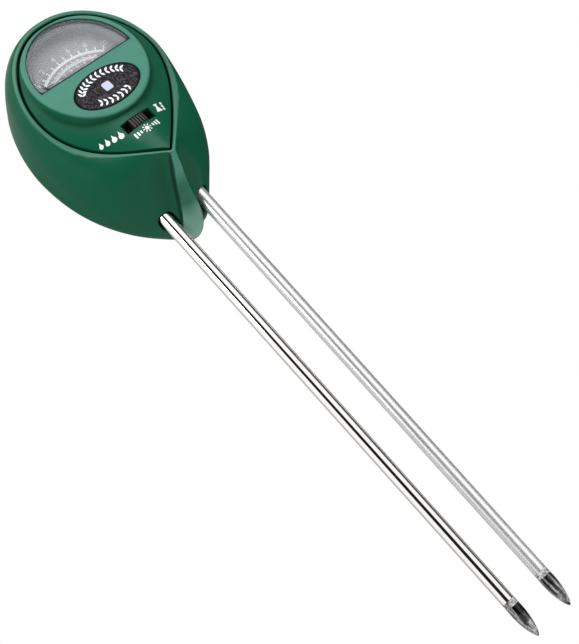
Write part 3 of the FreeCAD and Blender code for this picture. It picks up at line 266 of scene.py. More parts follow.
def rod_metal(name, col, r0, r1, painted_grey_band=None, metal_=1.0):
    # drawn tube: faint long streaks, no fine grain
    m, nt, b = new_mat(name)
    v = obj_coord(nt, scale=(1, 1, 0.02))
    v0 = obj_coord(nt)
    streak = noise(nt, v, 260.0, 2.0)
    big = noise(nt, v0, 35.0, 3.0)
    s = math_(nt, "ADD", math_(nt, "MULTIPLY", streak, 0.5), math_(nt, "MULTIPLY", big, 0.5))
    base = ramp(nt, s, [(0.3, shade(col, 0.965)), (0.5, c4(col)), (0.7, shade(col, 1.02))])
    if painted_grey_band:
        # painted reflection: one side of the tube is painted a flatter grey where a grey band is reflected, a band
        # round (axis x, heading, half width in degrees)
        sp = nt.nodes.new("ShaderNodeSeparateXYZ")
        nt.links.new(v0, sp.inputs[0])
        ang = math_(nt, "ARCTAN2", sp.outputs["Y"], math_(nt, "SUBTRACT", sp.outputs["X"], painted_grey_band[0] * MM))
        off = math_(nt, "ABSOLUTE", math_(nt, "SUBTRACT", ang, math.radians(painted_grey_band[1] - 32.0)))
        band = maprange(nt, off, math.radians(painted_grey_band[2] - 14.0), math.radians(painted_grey_band[2]), 1.0, 0.0)
        base = mixc(nt, math_(nt, "MULTIPLY", band, 0.72), base, (0.52, 0.52, 0.525, 1.0))
    nt.links.new(base, b.inputs["Base Color"])
    setup(b, r0, metal_)
    nt.links.new(maprange(nt, s, 0.35, 0.65, r0, r1), b.inputs["Roughness"])
    bump(nt, b, big, 0.05, 0.00004)
    return m


def tip_metal(name):
    # cast and turned point: dark, glossy, with paler rubbed streaks along it
    m, nt, b = new_mat(name)
    v = obj_coord(nt, scale=(1, 1, 0.10))
    v0 = obj_coord(nt)
    streak = noise(nt, v, 520.0, 2.0, 0.5)
    speck = noise(nt, v0, 1100.0, 2.0)
    s = math_(nt, "ADD", math_(nt, "MULTIPLY", streak, 0.85), math_(nt, "MULTIPLY", speck, 0.15))
    nt.links.new(ramp(nt, s, [(0.40, (0.030, 0.031, 0.034, 1)), (0.47, (0.13, 0.13, 0.135, 1)), (0.53, (0.46, 0.46, 0.46, 1)), (0.58, (0.10, 0.10, 0.10, 1)), (0.64, (0.34, 0.34, 0.34, 1))]), b.inputs["Base Color"])
    setup(b, 0.2, 1.0)
    nt.links.new(maprange(nt, s, 0.35, 0.65, 0.10, 0.24), b.inputs["Roughness"])
    bump(nt, b, s, 0.25, 0.00003)
    return m


def cast_grey(name):
    # rough cast ring: pitted, mottled light and dark
    m, nt, b = new_mat(name)
    v = obj_coord(nt)
    n1 = noise(nt, v, 900.0, 2.0, 0.6)
    nt.links.new(ramp(nt, n1, [(0.38, (0.050, 0.050, 0.048, 1)), (0.50, (0.24, 0.24, 0.235, 1)), (0.60, (0.50, 0.50, 0.49, 1))]), b.inputs["Base Color"])
    setup(b, 0.6, 0.2, 0.3)
    nt.links.new(maprange(nt, n1, 0.35, 0.65, 0.75, 0.5), b.inputs["Roughness"])
    bump(nt, b, n1, 0.5, 0.00012)
    return m


# --- the greens --------------------------------------------------------------
GREEN_CASE = (0.0030, 0.0720, 0.0355)
GREEN_PANEL = (0.0030, 0.0800, 0.0410)
GREEN_DISC = (0.0560, 0.2020, 0.1450)
# depth of the case's front rim against height, in millimetres
RIM = [(16, -23.4), (18.9, -22.4), (20, -21.7), (22, -20.4), (24, -19.2), (27, -17.3), (30, -15.5), (33, -14.2), (36, -13.3),
       (40, -12.8), (44, -12.8), (48, -13.1), (52, -13.6), (56, -14.0), (60, -14.25), (72, -14.25), (80, -13.9), (86, -13.6), (90, -13.5)]
# half width of the keel strip against depth, in millimetres
KEEL = [(-24.6, 1.0), (-19.9, 1.4), (-12.4, 2.3), (-7.6, 3.0), (-3.8, 3.8), (0.0, 4.6), (4.0, 5.0), (8.0, 5.2)]


def case_material(name, col, keel=1.0):
    m, nt, b = new_mat(name)
    v = obj_coord(nt)
    n1 = noise(nt, v, 140.0, 4.0, 0.6)
    n2 = noise(nt, v, 32.0, 3.0)
    s = math_(nt, "ADD", math_(nt, "MULTIPLY", n1, 0.4), math_(nt, "MULTIPLY", n2, 0.6))
    base = ramp(nt, s, [(0.30, shade(col, 0.90)), (0.5, c4(col)), (0.70, shade(col, 1.10))])
    # painted highlight and painted shade: the keel strip is painted paler where light falls on it, with dark lines
    # painted in the creases on its two sides
    tc = nt.nodes.new("ShaderNodeTexCoord")
    sp = nt.nodes.new("ShaderNodeSeparateXYZ")
    nt.links.new(tc.outputs["Object"], sp.inputs[0])
    ax = math_(nt, "ABSOLUTE", sp.outputs["X"])
    yy = maprange(nt, sp.outputs["Y"], -0.0246, 0.008, 0.0, 1.0)
    wr = ramp(nt, yy, [((y_ + 24.6) / 32.6, g(w_ / 6.0)) for y_, w_ in KEEL])
    wid = math_(nt, "MULTIPLY", wr, 0.006)
    gapx = math_(nt, "SUBTRACT", ax, wid)
    # painted highlight: the rounded front rim is painted paler
    zz = maprange(nt, sp.outputs["Z"], 0.016, 0.090, 0.0, 1.0)
    rv = ramp(nt, zz, [((z_ - 16.0) / 74.0, g((-y_ - 12.0) / 12.0)) for z_, y_ in RIM])
    rim_y = math_(nt, "MULTIPLY", math_(nt, "ADD", rv, 1.0), -0.012)
    on_rim = maprange(nt, math_(nt, "SUBTRACT", sp.outputs["Y"], rim_y), 0.00010, 0.00032, 1.0, 0.0)
    above = maprange(nt, sp.outputs["Z"], 0.0165, 0.0180, 0.0, 1.0)
    base = mixc(nt, math_(nt, "MULTIPLY", math_(nt, "MULTIPLY", on_rim, above), 0.75), base, (0.075, 0.215, 0.150, 1.0))
    low_z = math_(nt, "MULTIPLY", maprange(nt, sp.outputs["Z"], 0.0172, 0.0182, 1.0, 0.0), maprange(nt, sp.outputs["Y"], 0.0066, 0.0078, keel, 0.0))
    inside = math_(nt, "MULTIPLY", maprange(nt, gapx, -0.00015, 0.00015, 1.0, 0.0), low_z)
    tail = math_(nt, "MULTIPLY", maprange(nt, sp.outputs["Y"], -0.006, 0.003, 0.0, 0.75), inside)
    mid_y = maprange(nt, math_(nt, "ABSOLUTE", math_(nt, "ADD", sp.outputs["Y"], 0.0085)), 0.0030, 0.0085, 0.28, 0.85)
    # painted highlight on the keel strip, weaker towards its middle
    base = mixc(nt, math_(nt, "MULTIPLY", inside, mid_y), base, mixc(nt, n1, (0.052, 0.205, 0.145, 1.0), (0.110, 0.310, 0.240, 1.0)))
    # painted highlight, stronger towards the rear end of the strip
    base = mixc(nt, tail, base, (0.230, 0.380, 0.315, 1.0))
    # painted shade: dark lines along the creases at both edges of the keel strip
    crease = math_(nt, "MULTIPLY", maprange(nt, math_(nt, "ABSOLUTE", math_(nt, "SUBTRACT", gapx, 0.00022)), 0.00012, 0.00042, 1.0, 0.0), low_z)
    base = mixc(nt, math_(nt, "MULTIPLY", crease, 0.8), base, (0.0010, 0.0120, 0.0070, 1.0))
    nt.links.new(base, b.inputs["Base Color"])
    setup(b, 0.36, 0.0, 0.11, 0.0, 0.30)
    r = maprange(nt, noise(nt, v, 60.0, 3.0), 0.3, 0.7, 0.32, 0.42)
    nt.links.new(r, b.inputs["Roughness"])
    fine = noise(nt, v, 1500.0, 2.0)
    mid = noise(nt, v, 420.0, 2.0)
    h = math_(nt, "ADD", math_(nt, "MULTIPLY", fine, 0.6), math_(nt, "MULTIPLY", mid, 0.4))
    bump(nt, b, h, 0.4, 0.00003)
    return m


def panel_material(name):
    # the raised reading disc is coloured a paler green than the panel round it, and given a rougher satin finish
    m, nt, b = new_mat(name)
    v = obj_coord(nt)
    tc = nt.nodes.new("ShaderNodeTexCoord")
    # distance from the disc axis and depth behind the disc face, in metres
    o = F(0, 0, 0)
    sub = nt.nodes.new("ShaderNodeVectorMath")
    sub.operation = "SUBTRACT"
    sub.inputs[1].default_value = o
    nt.links.new(tc.outputs["Object"], sub.inputs[0])
    dot = nt.nodes.new("ShaderNodeVectorMath")
    dot.operation = "DOT_PRODUCT"
    dot.inputs[1].default_value = FACE_IN
    nt.links.new(sub.outputs[0], dot.inputs[0])
    depth = dot.outputs["Value"]
    ln = nt.nodes.new("ShaderNodeVectorMath")
    ln.operation = "LENGTH"
    nt.links.new(sub.outputs[0], ln.inputs[0])
    r2 = math_(nt, "SUBTRACT", math_(nt, "POWER", ln.outputs["Value"], 2.0), math_(nt, "POWER", depth, 2.0))
    rad = math_(nt, "SQRT", math_(nt, "MAXIMUM", r2, 0.0))
    on_disc = math_(nt, "MULTIPLY", maprange(nt, rad, 0.02275, 0.02335, 1.0, 0.0), maprange(nt, depth, 0.0005, 0.0012, 1.0, 0.0), True)
    n1 = noise(nt, v, 160.0, 4.0, 0.6)
    n2 = noise(nt, v, 30.0, 3.0)
    s = math_(nt, "ADD", math_(nt, "MULTIPLY", n1, 0.45), math_(nt, "MULTIPLY", n2, 0.55))
    low = ramp(nt, s, [(0.30, shade(GREEN_PANEL, 0.90)), (0.5, c4(GREEN_PANEL)), (0.70, shade(GREEN_PANEL, 1.12))])
    high = ramp(nt, s, [(0.30, shade(GREEN_DISC, 0.93)), (0.5, c4(GREEN_DISC)), (0.70, shade(GREEN_DISC, 1.08))])
    col = mixc(nt, on_disc, low, high)
    # painted shade: a dark line in the seam round the window
    dotz = nt.nodes.new("ShaderNodeVectorMath")
    dotz.operation = "DOT_PRODUCT"
    dotz.inputs[1].default_value = (F(0, 0, 1) - F(0, 0, 0)) * 1000.0
    nt.links.new(sub.outputs[0], dotz.inputs[0])
    hgt = dotz.outputs["Value"]
    seam = math_(nt, "MULTIPLY", maprange(nt, rad, 0.02105, 0.02125, 1.0, 0.0), maprange(nt, hgt, -0.0010, -0.0008, 0.0, 1.0), True)
    col = mixc(nt, math_(nt, "MULTIPLY", seam, 0.93), col, (0.004, 0.008, 0.007, 1.0))
    # painted shade: a darker line round the foot of the disc
    foot = math_(nt, "MULTIPLY", maprange(nt, rad, 0.0236, 0.0240, 0.0, 1.0), maprange(nt, rad, 0.0246, 0.0252, 1.0, 0.0), True)
    col = mixc(nt, math_(nt, "MULTIPLY", foot, 0.35), col, (0.001, 0.018, 0.010, 1.0))
    nt.links.new(col, b.inputs["Base Color"])
    setup(b, 0.38, 0.0, 0.15, 0.0, 0.25)
    r = maprange(nt, on_disc, 0.0, 1.0, 0.36, 0.52)
    nt.links.new(r, b.inputs["Roughness"])
    fine = noise(nt, v, 1500.0, 2.0)
    bump(nt, b, fine, 0.35, 0.00003)
    return m


def dial_material(name):
    # silvered card, painted paler towards its upper right: painted light that offsets the shade of its recess wall
    m, nt, b = new_mat(name)
    v = obj_coord(nt)
    tc = nt.nodes.new("ShaderNodeTexCoord")
    sub = nt.nodes.new("ShaderNodeVectorMath")
    sub.operation = "SUBTRACT"
    sub.inputs[1].default_value = F(0, 7.6, 9.0)
    nt.links.new(tc.outputs["Object"], sub.inputs[0])
    dz = nt.nodes.new("ShaderNodeVectorMath")
    dz.operation = "DOT_PRODUCT"
    dz.inputs[1].default_value = ((F(0, 0, 1) - F(0, 0, 0)) * 1000.0) * 0.8 + Vector((0.75, 0, 0))
    nt.links.new(sub.outputs[0], dz.inputs[0])
    # painted light: the card lightens towards its upper right
    side = maprange(nt, dz.outputs["Value"], -0.012, 0.016, 0.0, 1.0)
    fibre = noise(nt, v, 2200.0, 2.0)
    low = ramp(nt, fibre, [(0.3, (0.315, 0.318, 0.335, 1)), (0.7, (0.345, 0.349, 0.368, 1))])
    high = ramp(nt, fibre, [(0.3, (0.500, 0.505, 0.525, 1)), (0.7, (0.555, 0.560, 0.580, 1))])
    nt.links.new(mixc(nt, side, low, high), b.inputs["Base Color"])
    setup(b, 0.45, 0.0, 0.4)
    nt.links.new(maprange(nt, fibre, 0.3, 0.7, 0.42, 0.52), b.inputs["Roughness"])
    bump(nt, b, fibre, 0.3, 0.00001)
    return m


def badge_material(name):
    # speckled black field inside a plain black rolled edge
    m, nt, b = new_mat(name)
    tc = nt.nodes.new("ShaderNodeTexCoord")
    sub = nt.nodes.new("ShaderNodeVectorMath")
    sub.operation = "SUBTRACT"
    sub.inputs[1].default_value = F(0, 0, -11.9)
    nt.links.new(tc.outputs["Object"], sub.inputs[0])
    sp = nt.nodes.new("ShaderNodeSeparateXYZ")
    nt.links.new(sub.outputs[0], sp.inputs[0])
    dz = nt.nodes.new("ShaderNodeVectorMath")
    dz.operation = "DOT_PRODUCT"
    dz.inputs[1].default_value = (F(0, 0, 1) - F(0, 0, 0)) * 1000.0
    nt.links.new(sub.outputs[0], dz.inputs[0])
    u = math_(nt, "POWER", math_(nt, "ABSOLUTE", math_(nt, "DIVIDE", sp.outputs["X"], 0.0142)), 2.0)
    w = math_(nt, "POWER", math_(nt, "ABSOLUTE", math_(nt, "DIVIDE", dz.outputs["Value"], 0.0079)), 2.0)
    e = math_(nt, "SQRT", math_(nt, "ADD", u, w))
    edge = maprange(nt, e, 0.925, 0.945, 0.0, 1.0)
    v = obj_coord(nt)
    n1 = noise(nt, v, 1300.0, 2.0, 0.6)
    field = ramp(nt, n1, [(0.35, (0.008, 0.007, 0.008, 1)), (0.52, (0.022, 0.020, 0.022, 1)), (0.66, (0.075, 0.068, 0.074, 1))])
    nt.links.new(mixc(nt, edge, field, (0.004, 0.004, 0.004, 1)), b.inputs["Base Color"])
    setup(b, 0.6, 0.0, 0.06)
    nt.links.new(maprange(nt, n1, 0.3, 0.7, 0.45, 0.6), b.inputs["Roughness"])
    bump(nt, b, n1, 0.3, 0.00002)
    return m


def glass(name, tint, alpha_c, rough=0.05, edge=0.75):
    # clear moulding: mostly see-through face on, glossy and denser at its edges
    m, nt, b = new_mat(name)
    out = [n for n in nt.nodes if n.type == "OUTPUT_MATERIAL"][0]
    v = obj_coord(nt)
    n1 = noise(nt, v, 90.0, 3.0)
    colr = ramp(nt, n1, [(0.3, shade(tint, 0.96)), (0.7, c4(tint))])
    nt.links.new(colr, b.inputs["Base Color"])
    setup(b, rough, 0.0, 0.6)
    lw = nt.nodes.new("ShaderNodeLayerWeight")
    lw.inputs["Blend"].default_value = 0.35
    fac = maprange(nt, lw.outputs["Facing"], 0.0, 1.0, alpha_c, edge)
    tr = nt.nodes.new("ShaderNodeBsdfTransparent")
    mx = nt.nodes.new("ShaderNodeMixShader")
    nt.links.new(fac, mx.inputs[0])
    nt.links.new(tr.outputs[0], mx.inputs[1])
    nt.links.new(b.outputs[0], mx.inputs[2])
    nt.links.new(mx.outputs[0], out.inputs[0])
    fine = noise(nt, v, 300.0, 2.0)
    bump(nt, b, fine, 0.12, 0.00002)
    return m


M = {}
M["case"] = case_material("green_case", GREEN_CASE)
M["cover"] = case_material("green_cover", (0.0048, 0.0820, 0.0390), 0.0)
M["panel"] = panel_material("green_panel")
M["window"] = glass("clear_window", (0.30, 0.33, 0.34), 0.05, 0.04, 0.45)
M["sensor"] = glass("milky_window", (0.60, 0.66, 0.86), 0.70, 0.22, 0.90)
M["badge"] = badge_material("badge_black")
M["cell"] = plastic("photocell", (0.05, 0.025, 0.03), 0.3, 0.1)
M["knob"] = plastic("knob_black", (0.012, 0.010, 0.011), 0.38, 0.2, 0.00002, 1200.0, 0.0, 0.4)
M["slotdark"] = plastic("clamp_black", (0.02, 0.02, 0.02), 0.5, 0.1)
M["dial"] = dial_material("dial_grey")
M["pointer"] = plastic("pointer_paint", (0.02, 0.02, 0.02), 0.45, 0.05)
M["steel"] = metal("steel_screw", (0.56, 0.56, 0.57), 0.30)
M["tin"] = metal("tin_plate", (0.58, 0.58, 0.60), 0.34, "x")
M["laminate"] = plastic("laminate_black", (0.016, 0.013, 0.011), 0.5, 0.15, 0.00003, 700.0)
M["contact"] = metal("contact_dark", (0.075, 0.060, 0.045), 0.45)
M["brass"] = metal("brass", (0.62, 0.42, 0.16), 0.28)
M["bronze"] = metal("bronze", (0.50, 0.28, 0.12), 0.32)
M["copper"] = metal("copper_wire", (0.55, 0.20, 0.09), 0.35, None, 0.15, 0.00006, 2600.0)
M["alloy"] = metal("alloy", (0.60, 0.60, 0.62), 0.42)
M["iron"] = metal("soft_iron", (0.22, 0.22, 0.24), 0.40)
M["magnet"] = metal("magnet", (0.12, 0.12, 0.13), 0.45)
M["nickel"] = rod_metal("nickel_polished", (0.96, 0.945, 0.92), 0.04, 0.07)
# painted reflection: the right probe's tube carries a painted grey band on one side
M["zinc"] = rod_metal("zinc_satin", (0.93, 0.93, 0.935), 0.26, 0.34, painted_grey_band=(8.56, -128.0, 62.0), metal_=0.78)
M["tip"] = tip_metal("tip_metal")
M["collar"] = cast_grey("collar_grey")
M["board"] = plastic("board_green", (0.012, 0.11, 0.035), 0.35, 0.15, 0.00002, 900.0)
M["tan"] = plastic("resistor_tan", (0.50, 0.34, 0.15), 0.4, 0.06)
M["blue"] = plastic("trimmer_blue", (0.02, 0.06, 0.28), 0.38, 0.06)
M["red"] = plastic("lead_red", (0.35, 0.012, 0.010), 0.4, 0.06)
M["black"] = plastic("lead_black", (0.015, 0.015, 0.015), 0.45, 0.1)
M["white_ink"] = plastic("white_ink", (0.78, 0.80, 0.79), 0.5, 0.05, 0.00001, 2000.0)
M["dial_ink"] = plastic("dial_ink", (0.93, 0.93, 0.92), 0.5, 0.04, 0.00001, 2000.0)
M["badge_ink"] = plastic("badge_ink", (0.82, 0.86, 0.88), 0.5, 0.10, 0.00001, 2000.0)
M["dark_ink"] = plastic("dark_ink", (0.03, 0.03, 0.03), 0.5, 0.05, 0.00001, 2000.0)

ASSIGN = {
    "front_case": "case", "rear_cover": "cover", "case_screws": "steel", "face_panel": "panel", "dial_window": "window",
    "badge_plate": "badge", "light_window": "sensor", "photocell": "cell", "switch_frame": "slotdark", "switch_base": "laminate",
    "switch_terminals": "contact", "switch_knob": "knob", "switch_contacts": "contact", "switch_detent_leaf": "contact", "dial_plate": "dial",
    "dial_screws": "steel", "movement_frame": "alloy", "movement_screws": "steel", "flux_ring": "iron", "core_magnet": "magnet",
    "core_supports": "brass", "coil_former": "alloy", "coil_winding": "copper", "spindles": "steel", "pointer": "pointer",
    "balance_weights": "brass", "hairspring_front": "bronze", "hairspring_rear": "bronze", "movement_bridge": "brass",
    "pivot_screw_front": "steel", "pivot_screw_rear": "steel", "bridge_screws": "steel", "pointer_stops": "steel",
    "probe_tube_left": "nickel", "probe_tube_right": "zinc", "probe_collar_left": "collar", "probe_collar_right": "collar",
    "probe_tip_left": "tip", "probe_tip_right": "tip", "probe_tag_left": "brass", "probe_tag_right": "brass",
    "probe_clamp": "slotdark", "clamp_screw": "steel", "circuit_board": "board", "resistors": "tan", "trim_resistor": "blue",
    "lead_probe_left": "red", "lead_probe_right": "black", "board_screws": "steel",
}
for n, o in N.items():
    key = ASSIGN.get(n, "alloy")
    if not o.material_slots:
        o.data.materials.append(M[key])
    for s_ in o.material_slots:
        s_.material = M[key]

# ---------------------------------------------------------------------------
# printed marks: thin ink films laid on the real surfaces
# ---------------------------------------------------------------------------
trees = {}


def tree(name):
    if name not in trees:
        o = N[name]
        me = o.data
        me.calc_loop_triangles()
        trees[name] = BVHTree.FromPolygons([v.co.copy() for v in me.vertices], [tuple(t.vertices) for t in me.loop_triangles])
    return trees[name]


def on_surface(name, x, z, lift):
    # point on a CAD node straight behind (x, z) of the face frame
    start = F(x, -12.0, z)
    hit = tree(name).ray_cast(start, FACE_IN, 0.05)
    if hit[0] is None:
        return None, None
    nrm = hit[1]
    if nrm.dot(FACE_OUT) < 0:
        nrm = -nrm
    return hit[0] + nrm * lift, nrm


def tri_fill(outer, holes=()):
    # filled polygon with holes as triangles in 2D, using a curve's own fill
    cu = bpy.data.curves.new("tmp", "CURVE")
    cu.dimensions = "2D"
    cu.fill_mode = "FRONT"
    for loop in [outer] + list(holes):
        sp = cu.splines.new("POLY")
        sp.points.add(len(loop) - 1)
        for p, q in zip(sp.points, loop):
            p.co = (q[0], q[1], 0, 1)
        sp.use_cyclic_u = True
    ob = bpy.data.objects.new("tmp", cu)
    coll.objects.link(ob)
    bpy.context.view_layer.update()
    me = bpy.data.meshes.new_from_object(ob)
    bpy.data.objects.remove(ob)
    bpy.data.curves.remove(cu)
    return me


def ink(name, shapes, surface, mat_, lift=0.02, thick=0.03, step=0.6, body="case", plane_y=None):
    """shapes: list of (outer, holes) loops in face coordinates (x right, z up), in mm.
    Laid on a CAD node's surface, or on the plane at depth plane_y, as a closed film."""
    bm = bmesh.new()
    for outer, holes in shapes:
        me = tri_fill(outer, holes)
        b2 = bmesh.new()
        b2.from_mesh(me)
        bpy.data.meshes.remove(me)
        bmesh.ops.triangulate(b2, faces=b2.faces[:])
        if plane_y is None:
            for _ in range(4):
                long_e = [e for e in b2.edges if (e.verts[0].co - e.verts[1].co).length > step]
                if not long_e:
                    break
                bmesh.ops.subdivide_edges(b2, edges=long_e, cuts=1)
                bmesh.ops.triangulate(b2, faces=b2.faces[:])
        tmp = bpy.data.meshes.new("t")
        b2.to_mesh(tmp)
        b2.free()
        bm.from_mesh(tmp)
        bpy.data.meshes.remove(tmp)
    top = {}
    for v in bm.verts:
        x, z = v.co.x, v.co.y
        if plane_y is None:
            p, nrm = on_surface(surface, x, z, 0.0)
            if p is None:
                p, nrm = F(x, 0, z), FACE_OUT
        else:
            p, nrm = F(x, plane_y, z), FACE_OUT
        top[v] = (p, nrm.copy())
    for v in bm.verts:
        p, nrm = top[v]
        v.co = p + nrm * (lift + thick) * MM
    bmesh.ops.recalc_face_normals(bm, faces=bm.faces[:])
    avg = Vector((0, 0, 0))
    for f in bm.faces:
        avg += f.normal * f.calc_area()
    if avg.dot(FACE_OUT) < 0:
        bmesh.ops.reverse_faces(bm, faces=bm.faces[:])
    # close the film downward
    geom = bmesh.ops.extrude_face_region(bm, geom=bm.faces[:])
    newv = [e for e in geom["geom"] if isinstance(e, bmesh.types.BMVert)]
    for v in newv:
        v.co -= FACE_OUT * (thick * MM)
    # the extruded copy is the lower side: flip so that the shell is closed and outward
    bmesh.ops.recalc_face_normals(bm, faces=bm.faces[:])
    me = bpy.data.meshes.new(name)
    bm.to_mesh(me)
    bm.free()
    ob = bpy.data.objects.new(name, me)
    coll.objects.link(ob)
    me.materials.append(mat_)
    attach(ob, body)
    return ob


def circle(cx, cz, r, n=32, a0=0.0, a1=360.0):
    return [(cx + r * math.cos(math.radians(a0 + (a1 - a0) * i / n)), cz + r * math.sin(math.radians(a0 + (a1 - a0) * i / n))) for i in range(n + (0 if a1 - a0 >= 360 else 1))]


def ring(cx, cz, r0, r1, n=36):
    return (circle(cx, cz, r1, n), [circle(cx, cz, r0, n)])


def arc_band(cx, cz, r0, r1, a0, a1, n=40):
    # a0, a1 from straight up, clockwise positive, in degrees
    def pt(r, a):
        a = math.radians(a)
        return (cx + r * math.sin(a), cz + r * math.cos(a))
    return ([pt(r1, a0 + (a1 - a0) * i / n) for i in range(n + 1)] + [pt(r0, a1 - (a1 - a0) * i / n) for i in range(n + 1)], [])


def bar(x0, z0, x1, z1, w):
    d = Vector((x1 - x0, z1 - z0))
    d.normalize()
    q = Vector((-d.y, d.x)) * w / 2
    return ([(x0 - q.x, z0 - q.y), (x1 - q.x, z1 - q.y), (x1 + q.x, z1 + q.y), (x0 + q.x, z0 + q.y)], [])


def radial(cx, cz, r0, r1, a, w):
    a = math.radians(a)
    s, c = math.sin(a), math.cos(a)
    return bar(cx + r0 * s, cz + r0 * c, cx + r1 * s, cz + r1 * c, w)


def digits(text, cx, cz, size, turn=0.0):
    """loops of a numeral in the built-in face, centred at (cx, cz), size in mm, turned clockwise by turn degrees"""
    cu = bpy.data.curves.new("num", "FONT")
    cu.body = text
    cu.align_x = "CENTER"
    cu.align_y = "CENTER"
    cu.size = size
    ob = bpy.data.objects.new("num", cu)
    coll.objects.link(ob)
    bpy.context.view_layer.update()
    me = bpy.data.meshes.new_from_object(ob)
    bpy.data.objects.remove(ob)
    bpy.data.curves.remove(cu)
    t = math.radians(-turn)
    c, s = math.cos(t), math.sin(t)
    out = []
    for p in me.polygons:
        loop = []
        for i in p.vertices:
            v = me.vertices[i].co
            loop.append((cx + v.x * c - v.y * s, cz + v.x * s + v.y * c))
        out.append((loop, []))
    bpy.data.meshes.remove(me)
    return out


# --- dial print ----------------------------------------------------------------
DIAL_Y = 7.6
PV = -20.5
DC = (0.0, -15.1)          # centre of the printed scale
dial_shapes = []
R0 = 24.5
dial_shapes.append(arc_band(DC[0], DC[1], R0 - 0.55, R0 + 0.55, -35.3, 35.3, 60))
for i in range(11):
    a = -35.3 + 7.06 * i
    dial_shapes.append(radial(DC[0], DC[1], R0 + 0.55, R0 + (2.5 if i % 5 == 0 else 1.9), a, 0.62))
dial_shapes.append(arc_band(DC[0], DC[1], R0 - 3.0, R0 - 2.70, -27, 27, 50))
for i in range(28):
    a = -27 + 2.0 * i
    dial_shapes.append(radial(DC[0], DC[1], R0 - 2.72, R0 - (1.2 if i % 3 == 0 else 1.8), a, 0.46))
ink("dial_scale", dial_shapes, None, M["dial_ink"], 0.01, 0.02, plane_y=DIAL_Y)
nums = []
for i in range(0, 11, 2):
    a = -35.3 + 7.06 * i
    ar = math.radians(a)
    r = R0 + 3.5
    nums += digits(str(i), DC[0] + r * math.sin(ar), DC[1] + r * math.cos(ar), 3.0, a)
for i, t in enumerate(("8", "7", "6", "5", "4", "3")):
    a = -22 + 8.8 * i
    ar = math.radians(a)
    r = R0 - 4.1
    nums += digits(t, DC[0] + r * math.sin(ar), DC[1] + r * math.cos(ar), 2.2, a)
ink("dial_numerals", nums, None, M["dial_ink"], 0.01, 0.02, plane_y=DIAL_Y)


# --- icons beside the switch ------------------------------------------------------
def drop(cx, cz, h):
    # water drop: round below, pointed above
    r = h * 0.31
    pts = []
    for i in range(25):
        a = math.radians(-150 + 300 * i / 24)          # from upper left round the bottom
        pts.append((cx - r * math.sin(a) * -1, cz - h * 0.16 - r * math.cos(a)))
    tip = (cx, cz + h * 0.5)
    return (pts + [tip], [])


def turned(shapes, cx, cz, deg):
    t = math.radians(deg)
    c, s = math.cos(t), math.sin(t)

    def f(p):
        x, z = p[0] - cx, p[1] - cz
        return (cx + x * c - z * s, cz + x * s + z * c)
    return [([f(p) for p in o], [[f(p) for p in h] for h in hs]) for o, hs in shapes]


SV = -28.6
icons = []
for (x_, z_), h in zip(((-15.9, -27.05), (-13.6, -27.7), (-11.2, -28.35), (-8.7, -29.05)), (2.4, 2.7, 3.0, 3.3)):
    icons.append(drop(x_, z_, h))
sun_c = (0.0, SV - 4.65)
icons.append((circle(sun_c[0], sun_c[1], 0.85, 28), []))
for k in range(8):
    icons.append(radial(sun_c[0], sun_c[1], 1.15, 1.8, 45 * k, 0.42))
for sx in (-1, 1):
    for k, hh in enumerate((0.62, 0.85, 1.08)):
        icons.append(bar(sun_c[0] + sx * (2.75 + 1.2 * k), sun_c[1] - hh + 0.03 * sx, sun_c[0] + sx * (2.75 + 1.2 * k), sun_c[1] + hh, 0.66))
fx, fz = 9.9, SV + 0.45
icons.append(([(fx - 0.42, fz + 1.45), (fx + 0.42, fz + 1.45), (fx + 0.42, fz + 0.5), (fx + 1.4, fz - 1.5), (fx - 1.4, fz - 1.5), (fx - 0.42, fz + 0.5)], []))
icons.append(bar(fx - 0.8, fz + 1.6, fx + 0.8, fz + 1.6, 0.40))
for k in range(3):
    icons.append((circle(fx + 2.35 + 0.1 * k, fz - 1.05 + 1.15 * k, 0.50, 16), []))
ink("switch_icons", icons, "face_panel", M["white_ink"], 0.015, 0.03)

# --- badge art: two garlands of leaves ------------------------------------------------
BA, BB, BV = 14.3, 8.0, -11.9


def leaf(cx, cz, ln, w, deg, n=14):
    t = math.radians(deg)
    d = Vector((math.cos(t), math.sin(t)))
    q = Vector((-d.y, d.x))
    up_, dn = [], []
    for i in range(n + 1):
        u = i / n
        hgt = w * math.sin(math.pi * u) ** 0.8 * (1 - 0.25 * u)
        p = Vector((cx, cz)) + d * ln * u
        up_.append(tuple(p + q * hgt))
        if 0 < i < n:
            dn.append(tuple(p - q * hgt))
    return (up_ + dn[::-1], [])


art = []


def on_ellipse(k, deg):
    # point and heading on an ellipse k times the size of the badge
    t = math.radians(deg)
    x, z = BA * k * math.sin(t), BV + BB * k * math.cos(t)
    dx, dz = BA * k * math.cos(t), -BB * k * math.sin(t)
    return x, z, math.degrees(math.atan2(dz, dx))


# two garlands of leaves, one along the upper edge and one along the lower
for k_, a0, a1, n_ in ((0.74, -78, 62, 12), (0.70, 136, 224, 7)):
    for i in range(n_):
        a = a0 + (a1 - a0) * (i + 0.5) / n_
        x, z, hd = on_ellipse(k_, a)
        art.append(leaf(x, z, 1.95, 0.46, hd + 50))
        art.append(leaf(x, z, 1.95, 0.46, hd - 50))
ink("badge_sprig", art, "badge_plate", M["badge_ink"], 0.012, 0.02)

# ---------------------------------------------------------------------------
# floor and light
# ---------------------------------------------------------------------------
bpy.ops.mesh.primitive_plane_add(size=0.84, location=(0, 0, CAD_BOX[0][2] - 0.070))
floor = bpy.context.object
floor.name = "floor"
fm, fnt, fb = new_mat("floor_pale")
fb.inputs["Base Color"].default_value = (0.93, 0.93, 0.93, 1)
setup(fb, 0.9, 0.0, 0.1)
